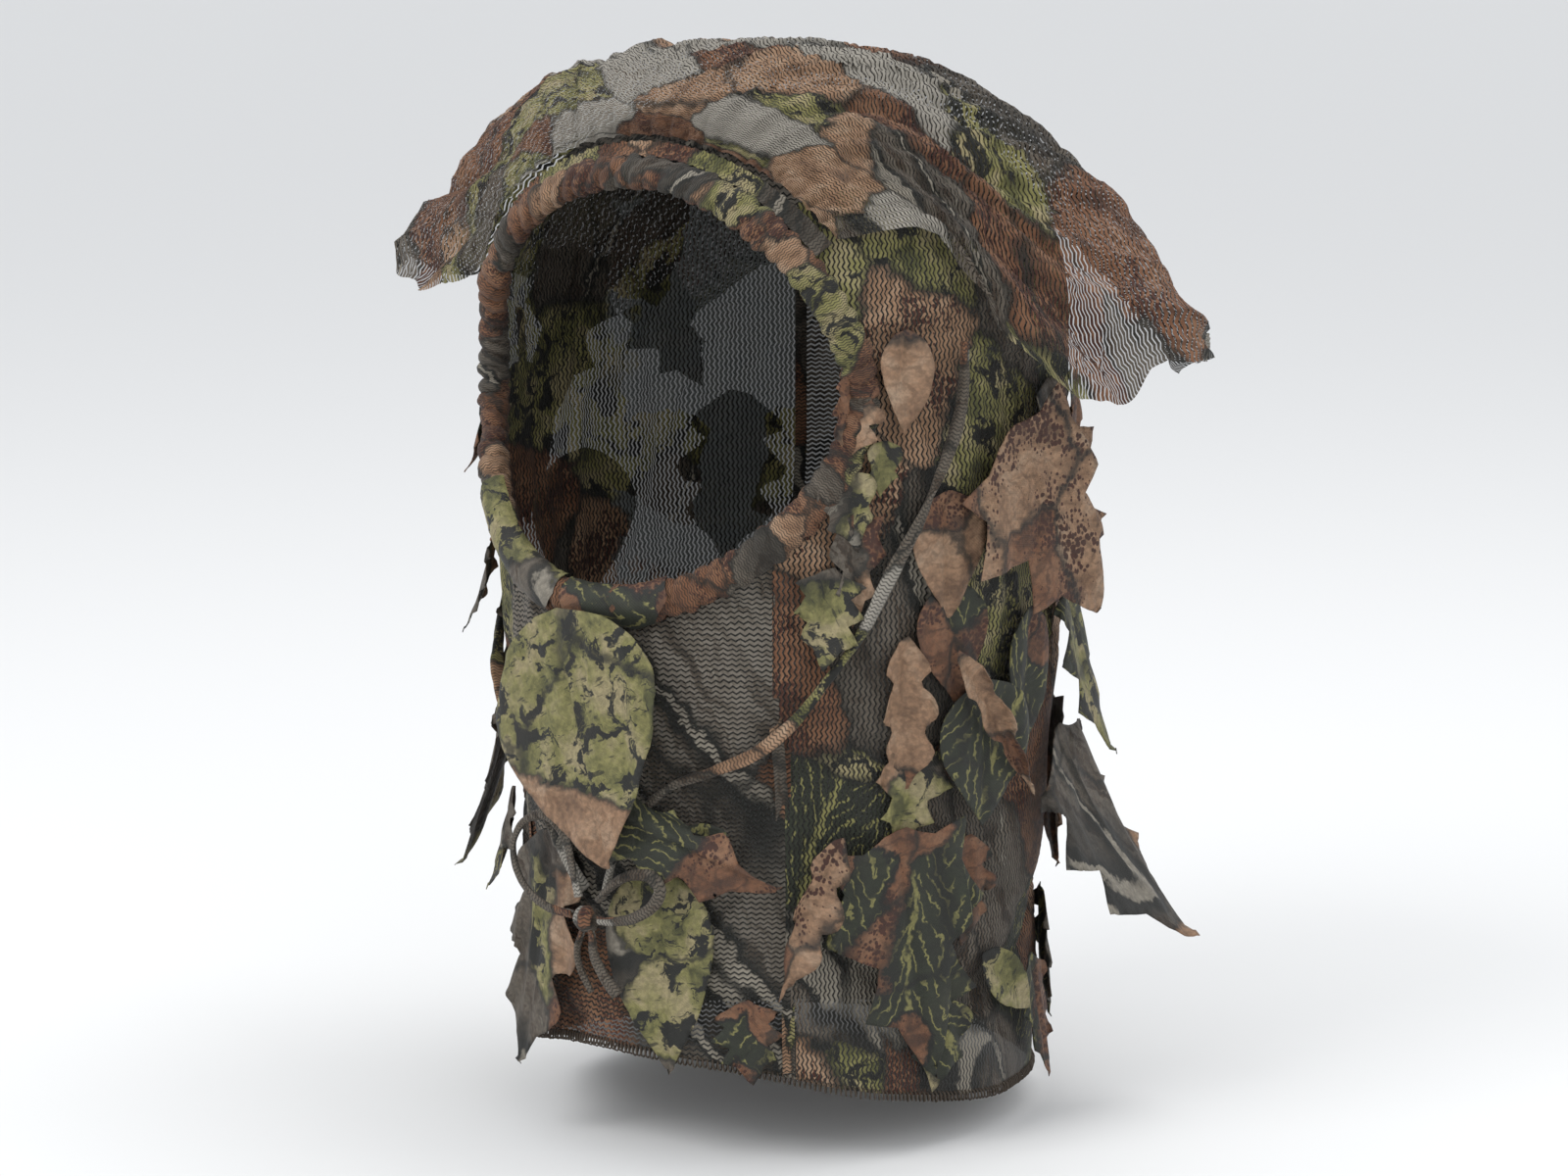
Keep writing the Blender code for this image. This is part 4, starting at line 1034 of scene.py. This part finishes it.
def fine_outline(shape, length, width, seed):
    """The leaf's full outline in metres, with lobes rounded or pointed and a slightly ragged cut."""
    half = [Vector((a * length, b * width, 0)) for a, b in OUTLINES[shape]]
    if shape in ROUNDED:
        half = smooth_route(half, 0.0028)[0]
    else:
        finer = []
        for a, b in zip(half, half[1:]):
            steps = max(1, round((b - a).length / 0.0035))
            pull = 0.07 * (b - a).length
            for k in range(steps):
                t = k / steps
                bow = math.sin(math.pi * t) * pull
                finer.append(a.lerp(b, t) + Vector((0, -bow if b.y > a.y else bow * 0.3, 0)))
        half = finer + [half[-1]]
    outline = []
    for side in (1, -1):
        points = half if side == 1 else half[-2:0:-1]
        for p in points:
            jag = 0.0006 * ripple(p.x * 700, side * 3.0, seed)
            outline.append((p.x, side * max(p.y + jag, 0.0)))
    cleaned = []
    for p in outline:
        if not cleaned or math.dist(p, cleaned[-1]) > 0.0005:
            cleaned.append(p)
    return cleaned


def leaf_frame(angle, depth, turn, length, stand_off):
    start = hood_point(angle, depth)
    down = (hood_point(angle, min(depth + length, HEM_DEPTH)) - start).normalized()
    side = Vector((HALF_WIDTH * math.cos(math.radians(angle)), HALF_DEPTH * math.sin(math.radians(angle)), 0))
    side.normalize()
    out = down.cross(side).normalized()
    if out.dot(Vector((start.x, start.y, 0))) < 0:
        out.negate()
    turn = math.radians(turn)
    along = down * math.cos(turn) + side * math.sin(turn)
    across = side * math.cos(turn) - down * math.sin(turn)
    return start + out * stand_off, along, across, side, down, out


def leaf_shape(values, seed):
    """(verts, faces, uvs, holds) of one leaf as it is sewn on."""
    shape, angle, depth, turn, length, width, stand_off, flare, bend, _, _, curl, crumple, twist = values
    bm = bmesh.new()
    outline = fine_outline(shape, length, width, seed)
    bm.faces.new([bm.verts.new((a, b, 0)) for a, b in outline])
    for axis in (0, 1):
        low, high = min(p[axis] for p in outline), max(p[axis] for p in outline)
        count = math.ceil((high - low) / 0.0028)
        for i in range(1, count):
            at, normal = Vector((0, 0, 0)), Vector((0, 0, 0))
            at[axis], normal[axis] = low + (high - low) * i / count, 1
            whole = bm.verts[:] + bm.edges[:] + bm.faces[:]
            bmesh.ops.bisect_plane(bm, geom=whole, dist=1e-6, plane_co=at, plane_no=normal)
    bmesh.ops.triangulate(bm, faces=bm.faces)
    bm.verts.index_update()
    stem, along, across, side, down, out = leaf_frame(angle, depth, turn, length, stand_off)
    kick = math.tan(math.radians(flare))
    verts, uvs, holds = [], [], []
    for v in bm.verts:
        a, b = v.co.x, v.co.y
        free = smooth(a / length)
        flat = along * a + across * b
        aside, drop = flat.dot(side), flat.dot(down)
        lift = kick * a * (0.35 + 0.65 * a / length) + CLOTH * 0.4
        lift -= bend * (1 - math.cos(aside / bend))
        s = b / (width / 2)
        lift += curl * width * 0.35 * s * s * (0.3 + 0.7 * free)
        lift += 0.0016 * abs(s) - 0.0010 * math.exp(-((b / 0.0022) ** 2))
        crease = 0.9 - 2.4 * abs(ripple(a * 17 + b * 11, b * 9 - a * 6, seed + 4))
        waves = 1.5 * ripple(a * 22, b * 22, seed) + 0.8 * ripple(a * 55, b * 55, seed + 9) + crease + 0.5
        lift += crumple * 0.0012 * (0.25 + 0.75 * free) * max(waves, -0.7)
        swing = math.radians(twist) * free
        place = stem + side * bend * math.sin(aside / bend) + down * drop
        place += across * b * (math.cos(swing) - 1) + out * (lift + b * math.sin(swing))
        verts.append(place)
        uvs.append((b + seed * 0.37, a + seed * 0.61))
        midrib = math.exp(-((b / 0.004) ** 2))
        holds.append(1.0 if a < 0.12 * length else max(0.10, 0.5 * midrib * (1 - 0.6 * free)))
    faces = [[v.index for v in f.verts] for f in bm.faces]
    bm.free()
    return verts, faces, uvs, holds


# Small scraps sewn flat between the larger leaves: the same values
SCRAPS = {
    "scrap_temple": ("oak", 52, 0.108, -8, 0.034, 0.024, 0.0008, 4, 0.15,
        "leaf_tan", "hood", 0.5, 3.0, 30),
    "scrap_cheek": ("ivy", 49, 0.148, 12, 0.032, 0.026, 0.0008, 2, 0.15,
        "leaf_moss", "hood", 0.4, 3.0, -20),
    "scrap_jaw": ("holly", 47, 0.186, -6, 0.040, 0.030, 0.0008, 3, 0.15,
        "leaf_bark", "hood", 0.4, 2.6, 20),
    "scrap_side": ("birch", 71, 0.196, 8, 0.050, 0.036, 0.0008, 0, 0.15,
        "leaf_rust", "hood", 0.1, 0.8, 0),
    "scrap_low": ("maple", 66, 0.262, -10, 0.044, 0.040, 0.0008, 0, 0.15,
        "leaf_moss", "hood", 0.1, 0.6, 0),
    "scrap_hem": ("holly", 30, 0.366, 6, 0.034, 0.030, 0.0008, 2, 0.15,
        "leaf_rust", "hood", 0.2, 1.6, 0),
    "scrap_hem_left": ("ivy", 74, 0.372, -8, 0.038, 0.034, 0.0008, 2, 0.15,
        "leaf_green", "hood", 0.2, 1.4, 0),
    "scrap_back_high": ("maple", 268, 0.072, 10, 0.074, 0.070, 0.0006, 0, 0.15,
        "leaf_moss", "hood", 0.0, 0.5, 0),
    "scrap_back_crown": ("oak", 199, 0.062, 8, 0.060, 0.056, 0.0006, 0, 0.15,
        "leaf_rust", "hood", 0.0, 0.5, 0),
    "scrap_back_side": ("maple", 248, 0.094, -32, 0.052, 0.044, 0.0006, 0, 0.15,
        "leaf_bark", "hood", 0.0, 0.5, 0),
    "scrap_rear": ("birch", 287, 0.120, -6, 0.072, 0.060, 0.0006, 0, 0.15,
        "leaf_green", "hood", 0.0, 0.5, 0),
    "scrap_rear_low": ("holly", 288, 0.214, 6, 0.080, 0.064, 0.0006, 0, 0.15,
        "leaf_bark", "hood", 0.0, 0.5, 0),
    "scrap_back_middle": ("oak", 172, 0.130, -4, 0.080, 0.062, 0.0006, 0, 0.15,
        "leaf_fern", "hood", 0.0, 0.5, 0),
    "scrap_back_left": ("maple", 121, 0.120, 12, 0.066, 0.056, 0.0006, 0, 0.15,
        "leaf_rust", "hood", 0.0, 0.5, 0),
}


def build_leaves():
    """All leaves settle together, each held where it is sewn on, and are then made one by one."""
    everything = {**LEAVES, **SCRAPS}
    shapes, verts, faces, holds = {}, [], [], []
    for number, (name, values) in enumerate(everything.items()):
        shapes[name] = leaf_shape(values, 1.0 + number * 1.37)
        faces += [[i + len(verts) for i in f] for f in shapes[name][1]]
        verts += shapes[name][0]
        holds += shapes[name][3]
    verts = settled(verts, faces, holds, 16, 0.0055, grow=0.05, bend=0.6, weight=0.3)
    first = 0
    for name, (old, own_faces, uvs, _) in shapes.items():
        own = [kept_outside(v, 0.0007) for v in verts[first:first + len(old)]]
        first += len(old)
        length, width, slot_name, body = everything[name][4], everything[name][5], *everything[name][9:11]
        made = piece(name + "_cloth", own, own_faces, uvs, leaf_materials[slot_name], body)
        thicken = made.modifiers.new("thickness", "SOLIDIFY")
        thicken.thickness, thicken.offset = 0.0004, 0.0
        if name in LEAVES:
            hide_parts(name)


build_leaves()


# ---- seams and hem ----


def ribbon(name, points, normals, half, node, material):
    """A flat seam along a route, a little rolled."""
    verts, uvs, run = [], [], 0.0
    for i, (p, n) in enumerate(zip(points, normals)):
        along = (points[min(i + 1, len(points) - 1)] - points[max(i - 1, 0)]).normalized()
        side = along.cross(n).normalized()
        if i:
            run += (p - points[i - 1]).length
        for j in range(5):
            t = j / 2 - 1
            verts.append(p + side * half * t * (1 + 0.08 * ripple(run * 300, t)) + n * 0.0006 * (t * t - 1))
            uvs.append((t * half, run))
    made = piece(name, verts, grid_faces(len(points), 5), uvs, material)
    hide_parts(node)
    return made


def seam_route(side, front):
    """Points of a straight seam inside the hood at x = side * SEAM_X."""
    points, normals = [], []
    x = side * SEAM_X
    if front:
        below = OPENING_HALF_HEIGHT * math.sqrt(1 - (SEAM_X / OPENING_HALF_WIDTH) ** 2)
        depths = np.linspace(OPENING_DEPTH + below + 0.009, 0.398, 60)
    else:
        depths = np.linspace(0.036, HEM_DEPTH - 0.004, 130)
    for depth in depths:
        share = share_at(depth)
        inner = share**2 - (x / HALF_WIDTH) ** 2
        if inner <= 0:
            continue
        y = HALF_DEPTH * math.sqrt(inner) * (-1 if front else 1)
        point = Vector((x, y, CLOTH - depth))
        out = normal_at(point)
        points.append(point - out * 0.0024)
        normals.append(out)
    return points, normals


for side, word in ((1, "left"), (-1, "right")):
    points, normals = seam_route(side, False)
    ribbon("crown_seam_%s_tape" % word, points, normals, 0.0026, "crown_seam_" + word,
           seam_cloth)
    points, normals = seam_route(side, True)
    ribbon("bib_seam_%s_tape" % word, points, normals, 0.0026, "bib_seam_" + word,
           seam_cloth)

points, normals = [], []
for i in range(141):
    point, away, out = rim_frame(math.radians(90 - FLAP_SEAM_ANGLE * (2 * i / 140 - 1)))
    points.append(point + away * 0.0107 + out * (0.0022 + 0.0006 * math.sin(i * 1.9)))
    normals.append(out)
ribbon("brow_binding_tape", points, normals, 0.0042, "brow_binding", casing_knit)


def wire(name, points, radius, material, sides=4):
    """A thin thread along many points, as one mesh."""
    ring = [(radius * math.cos(math.tau * k / sides), radius * math.sin(math.tau * k / sides))
            for k in range(sides)]
    verts, faces, uvs = tube_mesh(points, lambda i, share: ring)
    return piece(name, verts, faces, uvs, material)


points = []
loops = 330
for i in range(loops * 8):
    turn = 360 * i / (loops * 8) - 180
    edge = hood_point(turn, hem_at(turn))
    out = Vector((edge.x, edge.y, 0)).normalized()
    edge += normal_at(edge) * hood_offset(turn, hem_at(turn), edge)
    phase = math.tau * i / 8
    wander = 1 + 0.35 * ripple(i * 0.11, 2.0)
    rise = -0.0006 + 0.0021 * math.cos(phase) * wander
    points.append(edge + out * 0.0013 * math.sin(phase) * wander + Vector((0, 0, rise)))
hem = wire("hem_overlock_loops", points, 0.00042, thread)
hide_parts("hem_overlock")


# ---- stage and light ----

floor_mesh = bpy.data.meshes.new("floor")
reach = 60.0
corners = [(-reach, -reach, 0), (reach, -reach, 0), (reach, reach, 0), (-reach, reach, 0)]
floor_mesh.from_pydata(corners, [], [(0, 1, 2, 3)])
floor = bpy.data.objects.new("floor", floor_mesh)
floor.location = (0, 0, -0.436)
scene.collection.objects.link(floor)
pale = bpy.data.materials.new("studio_floor")
pale.use_nodes = True
pale.node_tree.nodes["Principled BSDF"].inputs["Base Color"].default_value = (0.78, 0.78, 0.775, 1)
pale.node_tree.nodes["Principled BSDF"].inputs["Roughness"].default_value = 0.95
pale.node_tree.nodes["Principled BSDF"].inputs["Specular IOR Level"].default_value = 0.1
floor_mesh.materials.append(pale)


def area_light(name, place, size, power, target=(0, 0, -0.2)):
    data = bpy.data.lights.new(name, "AREA")
    data.size, data.energy = size, power
    made = bpy.data.objects.new(name, data)
    made.location = place
    made.rotation_euler = (Vector(place) - Vector(target)).to_track_quat("Z", "Y").to_euler()
    scene.collection.objects.link(made)


area_light("key", (-0.5, -2.0, 1.6), 1.3, 30)
area_light("fill", (2.4, -1.3, 0.9), 1.8, 12)
area_light("top", (0.4, 0.7, 1.9), 1.2, 14)
world = bpy.data.worlds.new("studio")
world.use_nodes = True
world.node_tree.nodes["Background"].inputs["Color"].default_value = (0.95, 0.97, 1.0, 1)
world.node_tree.nodes["Background"].inputs["Strength"].default_value = 0.95
scene.world = world
scene.view_settings.view_transform = "Standard"
